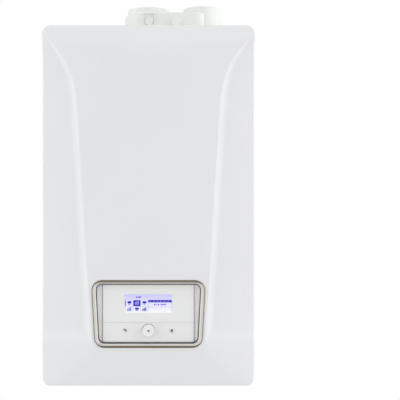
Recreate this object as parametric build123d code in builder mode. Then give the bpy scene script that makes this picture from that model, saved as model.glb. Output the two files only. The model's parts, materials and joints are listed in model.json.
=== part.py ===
from build123d import *

# Wall-hung condensing gas boiler with a sculpted pull-off front cover and a fold-down control box.
# Millimetres. The wall is the plane y = 0 and the boiler stands out from it towards -Y. X runs to the right
# seen from the front, and Z is up. The origin lies midway between the two wall bolts of the hanging bracket.
# A height is measured up from the lower edge of the casing, and a depth is measured out from the wall.

from math import atan2, cos, sin, sqrt
import os

os.makedirs("parts", exist_ok=True)

# Casing envelope
CASE_W = 450
CASE_H = 763
CASE_D = 345
CASE_ABOVE_BOLTS = 55
CORNER_R = 18
SHEET = 1.2
PANEL_GAP = 0.2
FIT_GAP = 0.3
BASE = CASE_ABOVE_BOLTS - CASE_H

# Front cover
COVER_D = 70
COVER_WALL = 2.5
SEAL_T = 3
SEAL_W = 9
CROWN = 6
EDGE_R = 3
BAND_H = 50
BAND_SLOPE = 0.245
FACET_H = 88
FACET_SLOPE = 0.15
CREASE_SIDE = 110.7
CREASE_LOW = CASE_W / 2 - CREASE_SIDE
CREASE_LEAN = 0.061
FLARE_START_H = 602
FLARE_R = 195
FLARE_END_H = 738
COVE_W = 16
COVE_STEP = 7
WING_LEAN = 0.119
FADE_END_H = 122
POCKET_FRONT_T = 23
POCKET_DEEP_T = 5
POCKET_D = CASE_D - POCKET_FRONT_T
POCKET_DEEP_D = CASE_D - POCKET_DEEP_T
POCKET_INSET = 8
POCKET_TOP_H = 700
COVER_SCREW_X = 150
COVER_SCREW_R = 2
COVER_BOSS_H = 14
COVER_BOSS_D = 14
STUD_X = 120
STUD_H = 742
STUD_R = 4

STUD_NECK = 5
SCREW_HEAD_R = 4.2
SCREW_HEAD_T = 2.6
SCREW_R = 2
TONGUE_T = 1.5
TONGUE_L = 16

# Control window, its trim ring and the control box behind it
WINDOW_REACH = 6.45
WINDOW_TAPER = 15
WINDOW_TOP_W = 2 * (CREASE_LOW + WINDOW_REACH)
WINDOW_BOTTOM_W = WINDOW_TOP_W - WINDOW_TAPER
WINDOW_H = 142.4
WINDOW_CENTRE_H = 153.2
WINDOW_R = 22
TRIM_W = 9.3
TRIM_PROUD = 1.5
TRIM_LIP = 3
TRIM_BACK_T = 7
TRIM_BACK_D = CASE_D - TRIM_BACK_T
TRIM_CLEAR = 0.25
BOX_SIDE = 75
BOX_W = CASE_W - 2 * BOX_SIDE
BOX_BOTTOM_H = 72
BOX_TOP_H = 250
BOX_SET_BACK = 29
BOX_DEEP = 84
BOX_FRONT_D = CASE_D - BOX_SET_BACK
BOX_BACK_D = BOX_FRONT_D - BOX_DEEP
BOX_WALL = 2.5
SURROUND_SET_BACK = 10.5
SURROUND_D = CASE_D - SURROUND_SET_BACK
SURROUND_CLEAR = 1
FASCIA_SET_BACK = 8
FASCIA_SIDE = 24.75
FASCIA_D = CASE_D - FASCIA_SET_BACK
FASCIA_W = WINDOW_TOP_W - 2 * FASCIA_SIDE
FASCIA_H = 120.6
FASCIA_CENTRE_H = 153.9
FASCIA_T = 2.5
FASCIA_GAP = 0.4
HINGE_SET_BACK = 45
HINGE_D = CASE_D - HINGE_SET_BACK
HINGE_H = 84
HINGE_R = 4
HINGE_CLEAR = 0.05
HINGE_ARM_T = 2

# Display and controls on the fascia
SCREEN_W = 100.6
SCREEN_H = 39.4
SCREEN_CENTRE_H = 174.2
LENS_T = 1.4
OVERLAY_LINE_H = 135
OVERLAY_T = 0.5
CONTROLS_H = 117.7
BUTTON_X = 49.4
BUTTON_R = 5.3
BUTTON_PROUD = 1.2
BUTTON_TRAVEL = 0.8
KNOB_R = 13.2
KNOB_PROUD = 9
KNOB_RING_R = 15.2
PUSH_TRAVEL = 1.2
SHAFT_R = 3
CONTROL_GAP = 0.3
KNOB_RING_W = 1.2
ENCODER_W = 14
ENCODER_DEEP = 8
SWITCH_W = 7
SWITCH_DEEP = 4.5
BOARD_T = 1.6
BOARD_SIDE = 25
BOARD_W = BOX_W - 2 * BOARD_SIDE
BOARD_H = 120
BOX_CORNER_R = 8
PANEL_BOARD_BACK = 15
POST_H = 18
PANEL_BOARD_D = FASCIA_D - PANEL_BOARD_BACK
MAIN_BOARD_D = BOX_BACK_D + POST_H

# Twin flue adaptor on the roof
FLUE_SET_BACK = 195
FLUE_D = CASE_D - FLUE_SET_BACK
FLUE_BODY_R = 54.5
FLUE_BODY_TOP = 55
FLUE_BODY_END_X = 130
FLUE_END_R = 26
FLUE_RIM_R = 47.5
FLUE_RIM_TOP = 68
AIR_X = 124.3
AIR_RIM_R = 43.5
AIR_RIM_TOP = 71
SOCKET_R = 40.2
SOCKET_DEPTH = 45
SEAL_RING_T = 1.6
DUCT_R = 30
DUCT_WALL = 1.5
TEST_R = 11.5
TEST_1_X = 1.7
TEST_1_H = 35.5
TEST_2_X = 62.6
TEST_2_H = 31.7
TEST_PROUD = 7
RIB_W = 2.4
RIB_PROUD = 2
RECESS_DEEP = 7
RECESS_TOP = 52
ADAPTOR_MARGIN = 10
ADAPTOR_BASE_T = 2.5

AIR_HOLE_R = 36
SIDE_FLANGE = 16
ROOF_FLANGE = 30

# Wall bracket and back frame
BRACKET_W = 300
BRACKET_H = 56
BRACKET_T = 2
BOLT_SPACING = 220
BOLT_R = 4.5
HOOK_X = 75
HOOK_W = 40
HOOK_RISE = 14
FRAME_T = 1.5
TRAY_D = 2.5
TRAY_MARGIN = 8
FRAME_FLANGE = 28

# Bottom plate, pipes and skirt
PLATE_H = 60
PIPE_SET_BACK = 205
PIPE_D = CASE_D - PIPE_SET_BACK
PIPE_SIDE = 95
PIPE_PITCH = (CASE_W - 2 * PIPE_SIDE) / 4
PIPE_BELOW = 25
NIPPLE_TOP_H = 72
NIPPLE_END_H = 20
NIPPLE_NECK = 4
NUT_T = 10
NUT_MARGIN = 6
G34_R = 13.22
G12_R = 10.48
PIPE_WALL = 2.5
TUBE_R = 9
TUBE_WALL = 1
PLATE_HOLE_GAP = 0.6
CONDENSATE_SIDE = 31
CONDENSATE_X = CASE_W / 2 - CONDENSATE_SIDE
CONDENSATE_R = 11
FLOOR_FLANGE = 14
RAIL_H = 30
RAIL_FOOT = 26

# Heat exchanger, burner and fan
DRUM_R = 130
DRUM_H = 520
DRUM_SET_BACK = 99
DRUM_L = 146
DRUM_FRONT_D = CASE_D - DRUM_SET_BACK
DRUM_BACK_D = DRUM_FRONT_D - DRUM_L
DRUM_WALL = 3
DOOR_R = 112
DOOR_T = 8
BURNER_R = 34
FAN_X = 98
FAN_H = 318
FAN_R = 54
FAN_SET_BACK = 77
FAN_DEEP = 46
FAN_FRONT_D = CASE_D - FAN_SET_BACK
FAN_BACK_D = FAN_FRONT_D - FAN_DEEP
FAN_WALL = 2.5
OUTLET_X = 62
MOTOR_R = 32
MOTOR_D = 34
IMPELLER_R = 44
FAN_INLET_R = 24
MIXER_R = 27
SNORKEL_SIDE = 38
SNORKEL_X = CASE_W / 2 - SNORKEL_SIDE
SNORKEL_R = 20

HOOPS = 3
HOOP_W = 16
DRAIN_X = 56
DRAIN_BEHIND = 26
DRAIN_D = PIPE_D - DRAIN_BEHIND
ELBOW_T = 36
ELBOW_W = 40
ELBOW_RISE = 20
OUTLET_TOP_H = 378
ELECTRODE_R = 4
BLADES = 9
BLADE_TURN = 35
IMPELLER_DEEP = 30
MIXER_ARM_R = 13
SNORKEL_BEHIND = 32
SNORKEL_D = FAN_BACK_D - SNORKEL_BEHIND
SNORKEL_TOP_H = 690
FLOW_IN = 45
FLOW_X = 2 * PIPE_PITCH - FLOW_IN
RETURN_X = 105
PORT_LOW_H = 400
STUB_LOW_H = 640
STUB_TOP_H = 680
ELECTRODE_X = -72
ELECTRODE_H = 572
VALVE_W = 90
VALVE_LOW_H = 290
VALVE_H = 56
VALVE_END_X = 58

# Water side
VESSEL_R = 175
VESSEL_H = 415
VESSEL_BACK_D = 10
VESSEL_CLEAR = 14
VESSEL_D = DRUM_BACK_D - VESSEL_CLEAR - VESSEL_BACK_D
RIM_T = 5
VESSEL_WALL = 2
VESSEL_PORT_L = 18
VESSEL_PORT_H = VESSEL_H - sqrt(VESSEL_R**2 - 4 * PIPE_PITCH**2) - VESSEL_PORT_L
STRAP_IN = 9
STRAP_W = 40
STRAP_H = 60
STRAP_T = 2
PUMP_H = 150
PUMP_R = 42
PORT_R = 10
VENT_TOP_H = 214
PUMP_BEHIND = 32
PUMP_DEEP = 62
PUMP_BACK_D = PIPE_D - PUMP_BEHIND
PUMP_FRONT_D = PUMP_BACK_D + PUMP_DEEP
PUMP_MOTOR_CLEAR = 7.5
PUMP_MOTOR_D = BOX_BACK_D - BOX_WALL - PUMP_MOTOR_CLEAR - PUMP_FRONT_D
PUMP_MOTOR_R = 36
PLATES_END_X = PIPE_PITCH + TUBE_R
PLATES_R = 12
PLATES_W = 2 * PIPE_PITCH + 4 * TUBE_R
PLATES_H = 75
PLATES_LOW_H = 136
PLATES_BEHIND = 32
PLATES_D = 60
PLATES_BACK_D = PIPE_D - PLATES_BEHIND
DIVERTER_R = 19
DIVERTER_LOW_H = 95
DIVERTER_TOP_H = 248
DIVERTER_BACK_H = 192
ACTUATOR_H = 46
FLOW_PORT_H = 232
GAS_CLEAR = 10
GAS_D = PLATES_BACK_D + PLATES_D + GAS_CLEAR + TUBE_R
VALVE_BEHIND = 32
VALVE_CLEAR = 7
VALVE_BACK_D = GAS_D - VALVE_BEHIND
VALVE_DEEP = FAN_BACK_D - VALVE_CLEAR - VALVE_BACK_D
GAS_BEND_H = 82
DRAIN_RUN_H = 355
DRAIN_FALL = 70
RELIEF_X = CASE_W / 2 - SNORKEL_SIDE
RELIEF_TUBE_R = 7.5
RELIEF_H = 120
RELIEF_R = 12
RELIEF_KNOB_R = 15
RELIEF_PROUD = 38
RELIEF_FRONT_D = PIPE_D + RELIEF_PROUD
RELIEF_TUBE_LOW_H = 12
TAP_X = 1.5 * PIPE_PITCH
TAP_H = 92
TAP_LOW_H = 74
TAP_KNOB_LOW_H = 24
TAP_KNOB_R = 13
TRAP_R = 20
TRAP_LOW_H = 76
TRAP_H = 120
DRAIN_R = 8
TAP_SPINDLE_R = 4


def up(height):
    """Row z of a height above the casing's lower edge."""
    return BASE + height


def out(depth):
    """Sketch plane parallel to the wall at a depth out from it, with x along X and y along Z."""
    return Plane.XZ.offset(depth)


def level(height):
    """Horizontal sketch plane at a height above the casing's lower edge, with x along X and y along Y."""
    return Plane.XY.offset(up(height))


def save(builder, label):
    """Labels a finished piece and writes it under that name."""
    builder.part.label = label
    export_step(builder.part, f"parts/{label}.step")


def crease(height):
    """Half width of the raised centre panel: a leaning line that flares out in an arc near the top."""
    if height <= FLARE_START_H:
        return CREASE_LOW + CREASE_LEAN * height
    start = CREASE_LOW + CREASE_LEAN * FLARE_START_H
    lean = atan2(CREASE_LEAN, 1)
    rise = height - FLARE_START_H + FLARE_R * sin(lean)
    return start + FLARE_R * cos(lean) - sqrt(FLARE_R**2 - rise**2)


def crown_y(x):
    """Row y of the crowned centre panel at a distance x from the centre line."""
    return -CASE_D + CROWN * (x / (CASE_W / 2)) ** 2


def wing_profile(height):
    """Plan outline of what is cut away beside the centre panel: crease, cove, leaning wing and round edge."""
    fade = min(1.0, max(0.05, (height - FACET_H) / (FADE_END_H - FACET_H)))
    crest = crease(height)
    edge = CASE_W / 2 - EDGE_R
    cove = min(COVE_W * fade, (edge - crest) / 2)
    foot = crest + cove
    foot_y = crown_y(crest) + COVE_STEP * cove / COVE_W
    edge_y = foot_y + WING_LEAN * (edge - foot)
    outside = CASE_W / 2 + 4 * EDGE_R
    clear_y = -CASE_D - 4 * EDGE_R
    with BuildSketch(level(height)) as profile:
        with BuildLine():
            wing = Line((foot, foot_y), (edge, edge_y))
            TangentArc(wing @ 0, (crest, crown_y(crest)), tangent=wing % 0 * -1)
            RadiusArc(wing @ 1, (CASE_W / 2, edge_y + EDGE_R), EDGE_R)
            Polyline(
                (CASE_W / 2, edge_y + EDGE_R),
                (outside, edge_y + EDGE_R),
                (outside, clear_y),
                (crest, clear_y),
                (crest, crown_y(crest)),
            )
        make_face()
    return profile.sketch


CARCASS_D = CASE_D - COVER_D - SEAL_T
BOX_H = BOX_TOP_H - BOX_BOTTOM_H
BOX_MID_H = (BOX_TOP_H + BOX_BOTTOM_H) / 2
LID_RIM_W = BOX_W - 2 * BOX_WALL - 2 * FIT_GAP
LID_RIM_H = BOX_H - 2 * BOX_WALL - 2 * FIT_GAP
FASCIA_LOW_D = FASCIA_D - OVERLAY_T
FASCIA_TOP_H = FASCIA_CENTRE_H + FASCIA_H / 2
KNOB_FRONT_D = FASCIA_LOW_D + KNOB_PROUD
KNOB_BACK_D = FASCIA_D + PUSH_TRAVEL + CONTROL_GAP
SHAFT_BACK_D = PANEL_BOARD_D + OVERLAY_T + PUSH_TRAVEL + CONTROL_GAP
BUTTON_COLLAR_D = FASCIA_LOW_D - FASCIA_T - CONTROL_GAP
BUTTON_STEM_D = PANEL_BOARD_D + SWITCH_DEEP + BUTTON_TRAVEL + CONTROL_GAP
BOARD_PARTS = (
    (-0.34, 0.25, 0.2, 0.37, 2 * POST_H - 4),
    (-0.08, 0.32, 0.16, 0.17, POST_H - 2),
    (0.12, 0.32, 0.16, 0.17, POST_H - 2),
    (0, -0.37, 0.76, 0.12, POST_H - 6),
    (0.34, 0, 0.09, 0.33, POST_H + 2),
)
VESSEL_MID_D = VESSEL_BACK_D + VESSEL_D / 2
DISH = (
    (VESSEL_D / 2, 0),
    (VESSEL_D / 2, 0.6 * VESSEL_R),
    (0.4 * VESSEL_D, 0.88 * VESSEL_R),
    (RIM_T, VESSEL_R - RIM_T),
    (RIM_T, VESSEL_R),
)
VOID = (
    (VESSEL_D / 2 - VESSEL_WALL, 0),
    (VESSEL_D / 2 - VESSEL_WALL, 0.59 * VESSEL_R),
    (0.37 * VESSEL_D, 0.86 * VESSEL_R),
    (RIM_T, VESSEL_R - 2 * RIM_T),
)
FLUE_FRONT_D = FLUE_D + FLUE_BODY_R
ADAPTOR_MID_X = (AIR_X + AIR_RIM_R - FLUE_BODY_R) / 2
ADAPTOR_BASE_W = AIR_X + AIR_RIM_R + FLUE_BODY_R + 2 * ADAPTOR_MARGIN
ADAPTOR_BASE_L = 2 * FLUE_BODY_R + 2 * ADAPTOR_MARGIN
ADAPTOR_SCREW_X = ADAPTOR_BASE_W / 2 - ADAPTOR_MARGIN
ADAPTOR_SCREW_Y = ADAPTOR_BASE_L / 2 - ADAPTOR_MARGIN
ADAPTOR_SCREWS = [
    (ADAPTOR_MID_X + sx * ADAPTOR_SCREW_X, -FLUE_D + sy * ADAPTOR_SCREW_Y) for sx in (-1, 1) for sy in (-1, 1)
]
RIB_DEEP = RECESS_DEEP
RIB_Y = -FLUE_FRONT_D - RIB_PROUD + RIB_DEEP / 2
IMPELLER_D = FAN_FRONT_D - 2 * FAN_WALL
SNORKEL_START_X = SNORKEL_X - 1.8 * SNORKEL_R
ELBOW_D = DRUM_FRONT_D + DOOR_T + ELBOW_T / 2 + EDGE_R
ELBOW_STATIONS = (
    (OUTLET_X, OUTLET_TOP_H, (FAN_BACK_D + FAN_FRONT_D) / 2, ELBOW_W),
    (OUTLET_X - 4, OUTLET_TOP_H + ELBOW_RISE, ELBOW_D, ELBOW_W + 4),
    (0, DRUM_H + BURNER_R, ELBOW_D, 2 * BURNER_R),
)
ROOF_W = CASE_W - 2 * CORNER_R - 2 * PANEL_GAP
TRAY_W = BRACKET_W + 2 * TRAY_MARGIN
TRAY_H = BRACKET_H + 2 * TRAY_MARGIN
HOOK_Z = BRACKET_H / 2 - BRACKET_T - HOOK_RISE / 2
HOOK_SLOT_H = HOOK_RISE + 2 * BRACKET_T
HOOK_SLOT_Z = HOOK_Z + BRACKET_T / 2 - HOOK_SLOT_H / 2
FRAME_SIDE_X = CASE_W / 2 - SHEET - PANEL_GAP - FRAME_T / 2
STRAP_X = (VESSEL_R + FRAME_SIDE_X) / 2 - STRAP_IN
FLOOR_W = 2 * (FRAME_SIDE_X - FRAME_T / 2 - PANEL_GAP)
FLOOR_SIDE_X = FLOOR_W / 2 - SHEET / 2
FLOOR_BACK_D = FRAME_T + PANEL_GAP
FLOOR_FRONT_D = CARCASS_D - SHEET - PANEL_GAP
PIPE_X = [PIPE_PITCH * step for step in (-2, -1, 0, 1, 2)]
TONGUE_H = COVER_BOSS_H + FIT_GAP
TONGUE_SLOT_D = SEAL_T + COVER_BOSS_D / 2 - COVER_SCREW_R - FIT_GAP
ARM_MID_X = BOX_W / 2 + HINGE_ARM_T
ARM_FOOT_H = TONGUE_H + 2 * TONGUE_T
FLOOR_HOLES = (
    (PIPE_X[0], PIPE_D, G34_R),
    (PIPE_X[1], PIPE_D, G12_R),
    (PIPE_X[2], PIPE_D, G34_R),
    (PIPE_X[3], PIPE_D, G12_R),
    (PIPE_X[4], PIPE_D, G34_R),
    (TAP_X, PIPE_D, TAP_SPINDLE_R),
    (CONDENSATE_X, DRAIN_D, CONDENSATE_R),
    (-RELIEF_X, PIPE_D, RELIEF_TUBE_R),
)
COVER_BACK_D = CASE_D - COVER_D
FLARE_SHARES = (0, 0.18, 0.35, 0.51, 0.65, 0.76, 0.85, 0.93, 1)
FLARE_STATIONS = [FLARE_START_H + share * (FLARE_END_H - FLARE_START_H) for share in FLARE_SHARES]
COVER_SCREWS = [(x, -COVER_BACK_D - COVER_BOSS_D / 2) for x in (-COVER_SCREW_X, COVER_SCREW_X)]
WING_RUNS = ((-EDGE_R, FACET_H), (FACET_H, FADE_END_H), (FADE_END_H, FLARE_START_H), FLARE_STATIONS)


def window_outline(margin):
    """Rounded trapezoid of the control window, grown outwards by a margin, centred on the current plane."""
    half_h = WINDOW_H / 2 + margin
    lean = (WINDOW_TOP_W - WINDOW_BOTTOM_W) / 2 / WINDOW_H
    top = WINDOW_TOP_W / 2 + margin + lean * margin
    bottom = WINDOW_BOTTOM_W / 2 + margin - lean * margin
    with BuildSketch(Plane.XY) as outline:
        with BuildLine():
            Polyline((-bottom, -half_h), (bottom, -half_h), (top, half_h), (-top, half_h), close=True)
        make_face()
        fillet(outline.vertices(), WINDOW_R + margin)
    return outline.sketch


def rounded_case(margin):
    """Outline of the casing seen from the front, shrunk by a margin, on the current plane."""
    with BuildSketch(Plane.XY.shift_origin((0, up(CASE_H / 2)))) as outline:
        RectangleRounded(CASE_W - 2 * margin, CASE_H - 2 * margin, CORNER_R - margin)
    return outline.sketch


def crown_plan(proud):
    """Plan of the cover from its rear rim to the crowned front line, pushed forward by a proud height."""
    side = CASE_W / 2
    with BuildSketch(Plane.XY) as plan:
        with BuildLine():
            crown_line = ThreePointArc(
                (-side, -CASE_D + CROWN - proud), (0, -CASE_D - proud), (side, -CASE_D + CROWN - proud)
            )
            Polyline(crown_line @ 1, (side, -COVER_BACK_D), (-side, -COVER_BACK_D), crown_line @ 0)
        make_face()
    return plan.sketch


# Cutter for the right wing of the front cover
with BuildPart() as wing:
    for run in WING_RUNS:
        loft([wing_profile(height) for height in run], ruled=True)

# Front cover: crowned centre panel between flared creases, leaning wings, tilted top band and bottom facet
with BuildPart() as front_cover:
    with BuildSketch(level(0)):
        add(crown_plan(0))
    extrude(amount=CASE_H)
    with BuildSketch(out(COVER_BACK_D)):
        add(rounded_case(0))
    extrude(amount=COVER_D, mode=Mode.INTERSECT)
    with BuildSketch(Plane.YZ):
        with BuildLine():
            Polyline(
                (-CASE_D - EDGE_R, up(CASE_H - BAND_H) - EDGE_R / BAND_SLOPE),
                (-CASE_D + BAND_SLOPE * (BAND_H + EDGE_R), up(CASE_H + EDGE_R)),
                (-CASE_D - BAND_H, up(CASE_H + EDGE_R)),
                close=True,
            )
        make_face()
        with BuildLine():
            Polyline(
                (-CASE_D - EDGE_R, up(FACET_H) + EDGE_R / FACET_SLOPE),
                (-CASE_D + FACET_SLOPE * (FACET_H + EDGE_R), up(-EDGE_R)),
                (-CASE_D - FACET_H, up(-EDGE_R)),
                close=True,
            )
        make_face()
    extrude(amount=CASE_W, both=True, mode=Mode.SUBTRACT)
    add(wing.part, mode=Mode.SUBTRACT)
    add(mirror(wing.part, about=Plane.YZ), mode=Mode.SUBTRACT)
    with BuildSketch(out(COVER_BACK_D)):
        add(rounded_case(COVER_WALL))
    extrude(amount=POCKET_D - COVER_BACK_D, mode=Mode.SUBTRACT)
    with BuildSketch(out(POCKET_D)):
        with BuildLine():
            deep_side = Polyline(
                (crease(FACET_H) - POCKET_INSET, up(FACET_H + POCKET_INSET)),
                (crease(FLARE_START_H) - POCKET_INSET, up(FLARE_START_H)),
                (crease(POCKET_TOP_H) - POCKET_INSET, up(POCKET_TOP_H)),
            )
            mirror(deep_side, about=Plane.YZ)
            Line(deep_side @ 0, (-(deep_side @ 0).X, (deep_side @ 0).Y))
            Line(deep_side @ 1, (-(deep_side @ 1).X, (deep_side @ 1).Y))
        make_face()
        with Locations((0, up(WINDOW_CENTRE_H))):
            add(window_outline(TRIM_LIP + TRIM_LIP))
    extrude(amount=POCKET_DEEP_D - POCKET_D, mode=Mode.SUBTRACT)
    with BuildSketch(out(POCKET_D)):
        with Locations((0, up(WINDOW_CENTRE_H))):
            add(window_outline(0))
    extrude(amount=COVER_D, mode=Mode.SUBTRACT)
    with BuildSketch(level(0)):
        with Locations(*COVER_SCREWS):
            Rectangle(COVER_BOSS_D, COVER_BOSS_D)
    extrude(amount=COVER_BOSS_H)
    with BuildSketch(level(0)):
        with Locations(*COVER_SCREWS):
            Circle(COVER_SCREW_R + FIT_GAP)
    extrude(amount=COVER_BOSS_H, mode=Mode.SUBTRACT)
save(front_cover, "front_cover")

# Cover screws: captive in the cover's bosses, their shanks stand in the open slots of the lower rail
with BuildPart() as cover_screws:
    with BuildSketch(level(-SCREW_HEAD_T)):
        with Locations(*COVER_SCREWS):
            Circle(SCREW_HEAD_R)
    extrude(amount=SCREW_HEAD_T)
    with BuildSketch(level(0)):
        with Locations(*COVER_SCREWS):
            Circle(COVER_SCREW_R)
    extrude(amount=COVER_BOSS_H + 2 * TONGUE_T + FIT_GAP)
    with BuildSketch(level(-SCREW_HEAD_T)):
        with Locations(*COVER_SCREWS):
            Rectangle(1.4 * SCREW_HEAD_R, SCREW_HEAD_T / 3)
    extrude(amount=SCREW_HEAD_T / 2, mode=Mode.SUBTRACT)
save(cover_screws, "cover_screws")

# Cover clips: sockets inside the cover's top edge that snap over the studs of the roof panel
with BuildPart() as cover_clips:
    with BuildSketch(out(CARCASS_D + STUD_NECK)):
        with Locations((-STUD_X, up(STUD_H)), (STUD_X, up(STUD_H))):
            Circle(2 * STUD_R)
    extrude(amount=POCKET_D - CARCASS_D - STUD_NECK)
    with BuildSketch(out(CARCASS_D + STUD_NECK)):
        with Locations((-STUD_X, up(STUD_H)), (STUD_X, up(STUD_H))):
            Circle(STUD_R + FIT_GAP)
    extrude(amount=4 * STUD_R, mode=Mode.SUBTRACT)
save(cover_clips, "cover_clips")

# Trim ring pushed into the window from behind, its face following the crown of the cover
with BuildPart() as control_bezel:
    with BuildSketch(out(TRIM_BACK_D)):
        with Locations((0, up(WINDOW_CENTRE_H))):
            add(window_outline(-TRIM_CLEAR))
            add(window_outline(-TRIM_W), mode=Mode.SUBTRACT)
    extrude(amount=CASE_D + TRIM_PROUD - TRIM_BACK_D)
    with BuildSketch(level(0)):
        add(crown_plan(TRIM_PROUD))
    extrude(amount=CASE_H, mode=Mode.INTERSECT)
    chamfer(control_bezel.faces().sort_by(Axis.Y)[0].edges(), TRIM_PROUD / 2)
    with BuildSketch(out(TRIM_BACK_D)):
        with Locations((0, up(WINDOW_CENTRE_H))):
            add(window_outline(TRIM_LIP))
            add(window_outline(-TRIM_W), mode=Mode.SUBTRACT)
    extrude(amount=POCKET_DEEP_D - TRIM_CLEAR - TRIM_BACK_D)
save(control_bezel, "control_bezel")

# Side panels: folded sheet with rounded corners and an inward front flange
for side, label in ((1, "side_panel_right"), (-1, "side_panel_left")):
    with BuildPart() as side_panel:
        with BuildSketch(out(0)):
            add(rounded_case(0))
            add(rounded_case(SHEET), mode=Mode.SUBTRACT)
            with Locations((side * CASE_W / 2, up(CASE_H / 2))):
                Rectangle(2 * CORNER_R, 2 * CASE_H, mode=Mode.INTERSECT)
        extrude(amount=CARCASS_D)
        with BuildSketch(out(CARCASS_D - SHEET)):
            add(rounded_case(0))
            add(rounded_case(SIDE_FLANGE), mode=Mode.SUBTRACT)
            with Locations((side * CASE_W / 2, up(CASE_H / 2))):
                Rectangle(2 * CORNER_R, 2 * CASE_H, mode=Mode.INTERSECT)
        extrude(amount=SHEET)
    save(side_panel, label)

# Roof panel: sheet between the side panels with the flue and air holes, and the cover studs on its flange
with BuildPart() as roof_panel:
    with BuildSketch(level(CASE_H - SHEET)):
        with Locations((0, -CARCASS_D / 2)):
            Rectangle(ROOF_W, CARCASS_D)
        with Locations((0, -FLUE_D)):
            Circle(DUCT_R + FIT_GAP, mode=Mode.SUBTRACT)
        with Locations((AIR_X, -FLUE_D)):
            Circle(AIR_HOLE_R, mode=Mode.SUBTRACT)
    extrude(amount=SHEET)
    with BuildSketch(out(CARCASS_D - SHEET)):
        with Locations((0, up(CASE_H - ROOF_FLANGE / 2))):
            Rectangle(ROOF_W, ROOF_FLANGE)
    extrude(amount=SHEET)
    with BuildSketch(out(CARCASS_D)):
        with Locations((-STUD_X, up(STUD_H)), (STUD_X, up(STUD_H))):
            Circle(STUD_R / 2)
    extrude(amount=STUD_NECK)
    with BuildSketch(out(CARCASS_D + STUD_NECK)):
        with Locations((-STUD_X, up(STUD_H)), (STUD_X, up(STUD_H))):
            Circle(STUD_R)
    extrude(amount=2 * STUD_R)
    chamfer(roof_panel.faces().sort_by(Axis.Y)[:2].edges(), STUD_R / 3)
save(roof_panel, "roof_panel")

# Back frame: wall sheet with side flanges, a raised tray over the wall bracket, and two vessel straps
with BuildPart() as back_frame:
    with BuildSketch(out(0)):
        add(rounded_case(SHEET + PANEL_GAP))
    extrude(amount=FRAME_T)
    with BuildSketch(out(0)):
        Rectangle(TRAY_W, TRAY_H)
    extrude(amount=TRAY_D + FRAME_T)
    with BuildSketch(out(0)):
        Rectangle(TRAY_W - 2 * FRAME_T, TRAY_H - 2 * FRAME_T)
    extrude(amount=TRAY_D, mode=Mode.SUBTRACT)
    with BuildSketch(out(TRAY_D)):
        with Locations((-HOOK_X, HOOK_SLOT_Z), (HOOK_X, HOOK_SLOT_Z)):
            Rectangle(HOOK_W + 2, HOOK_SLOT_H)
    extrude(amount=2 * FRAME_T, mode=Mode.SUBTRACT)
    with BuildSketch(out(0)):
        with Locations(*[(x, up(CASE_H / 2)) for x in (-FRAME_SIDE_X, FRAME_SIDE_X)]):
            Rectangle(FRAME_T, CASE_H - 2 * CORNER_R - 2 * SHEET)
    extrude(amount=FRAME_FLANGE)
    for side in (-1, 1):
        with BuildSketch(out(FRAME_T)):
            with Locations((side * STRAP_X, up(VESSEL_H))):
                Rectangle(STRAP_W, STRAP_H)
        extrude(amount=STRAP_T)
        with BuildSketch(out(FRAME_T)):
            with Locations((side * (VESSEL_R + FIT_GAP + STRAP_T / 2), up(VESSEL_H))):
                Rectangle(STRAP_T, STRAP_H)
        extrude(amount=VESSEL_MID_D - FRAME_T + RIM_T)
save(back_frame, "back_frame")

# Wall bracket: bolted plate whose two upturned hooks reach through the slots of the back frame's tray
with BuildPart() as wall_bracket:
    with BuildSketch(out(0)):
        RectangleRounded(BRACKET_W, BRACKET_H, 4)
        with GridLocations(BOLT_SPACING, 0, 2, 1):
            Circle(BOLT_R, mode=Mode.SUBTRACT)
    extrude(amount=BRACKET_T)
    with BuildSketch(out(BRACKET_T)):
        with Locations((-HOOK_X, HOOK_Z), (HOOK_X, HOOK_Z)):
            Rectangle(HOOK_W, BRACKET_T)
    extrude(amount=TRAY_D + FRAME_T + FIT_GAP)
    with BuildSketch(out(TRAY_D + FRAME_T + FIT_GAP)):
        with Locations((-HOOK_X, HOOK_Z + HOOK_RISE / 2), (HOOK_X, HOOK_Z + HOOK_RISE / 2)):
            Rectangle(HOOK_W, HOOK_RISE + BRACKET_T)
    extrude(amount=BRACKET_T)
save(wall_bracket, "wall_bracket")

# Bottom plate: recessed floor of the sealed chamber, with a hole for every pipe
with BuildPart() as bottom_plate:
    with BuildSketch(level(PLATE_H)):
        with Locations((0, -(FLOOR_BACK_D + FLOOR_FRONT_D) / 2)):
            Rectangle(FLOOR_W, FLOOR_FRONT_D - FLOOR_BACK_D)
        for x, depth, radius in FLOOR_HOLES:
            with Locations((x, -depth)):
                Circle(radius + PLATE_HOLE_GAP, mode=Mode.SUBTRACT)
    extrude(amount=SHEET)
    with BuildSketch(level(PLATE_H)):
        with Locations(*[(x, -(FLOOR_BACK_D + FLOOR_FRONT_D) / 2) for x in (-FLOOR_SIDE_X, FLOOR_SIDE_X)]):
            Rectangle(SHEET, FLOOR_FRONT_D - FLOOR_BACK_D)
    extrude(amount=-FLOOR_FLANGE)
save(bottom_plate, "bottom_plate")

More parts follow.
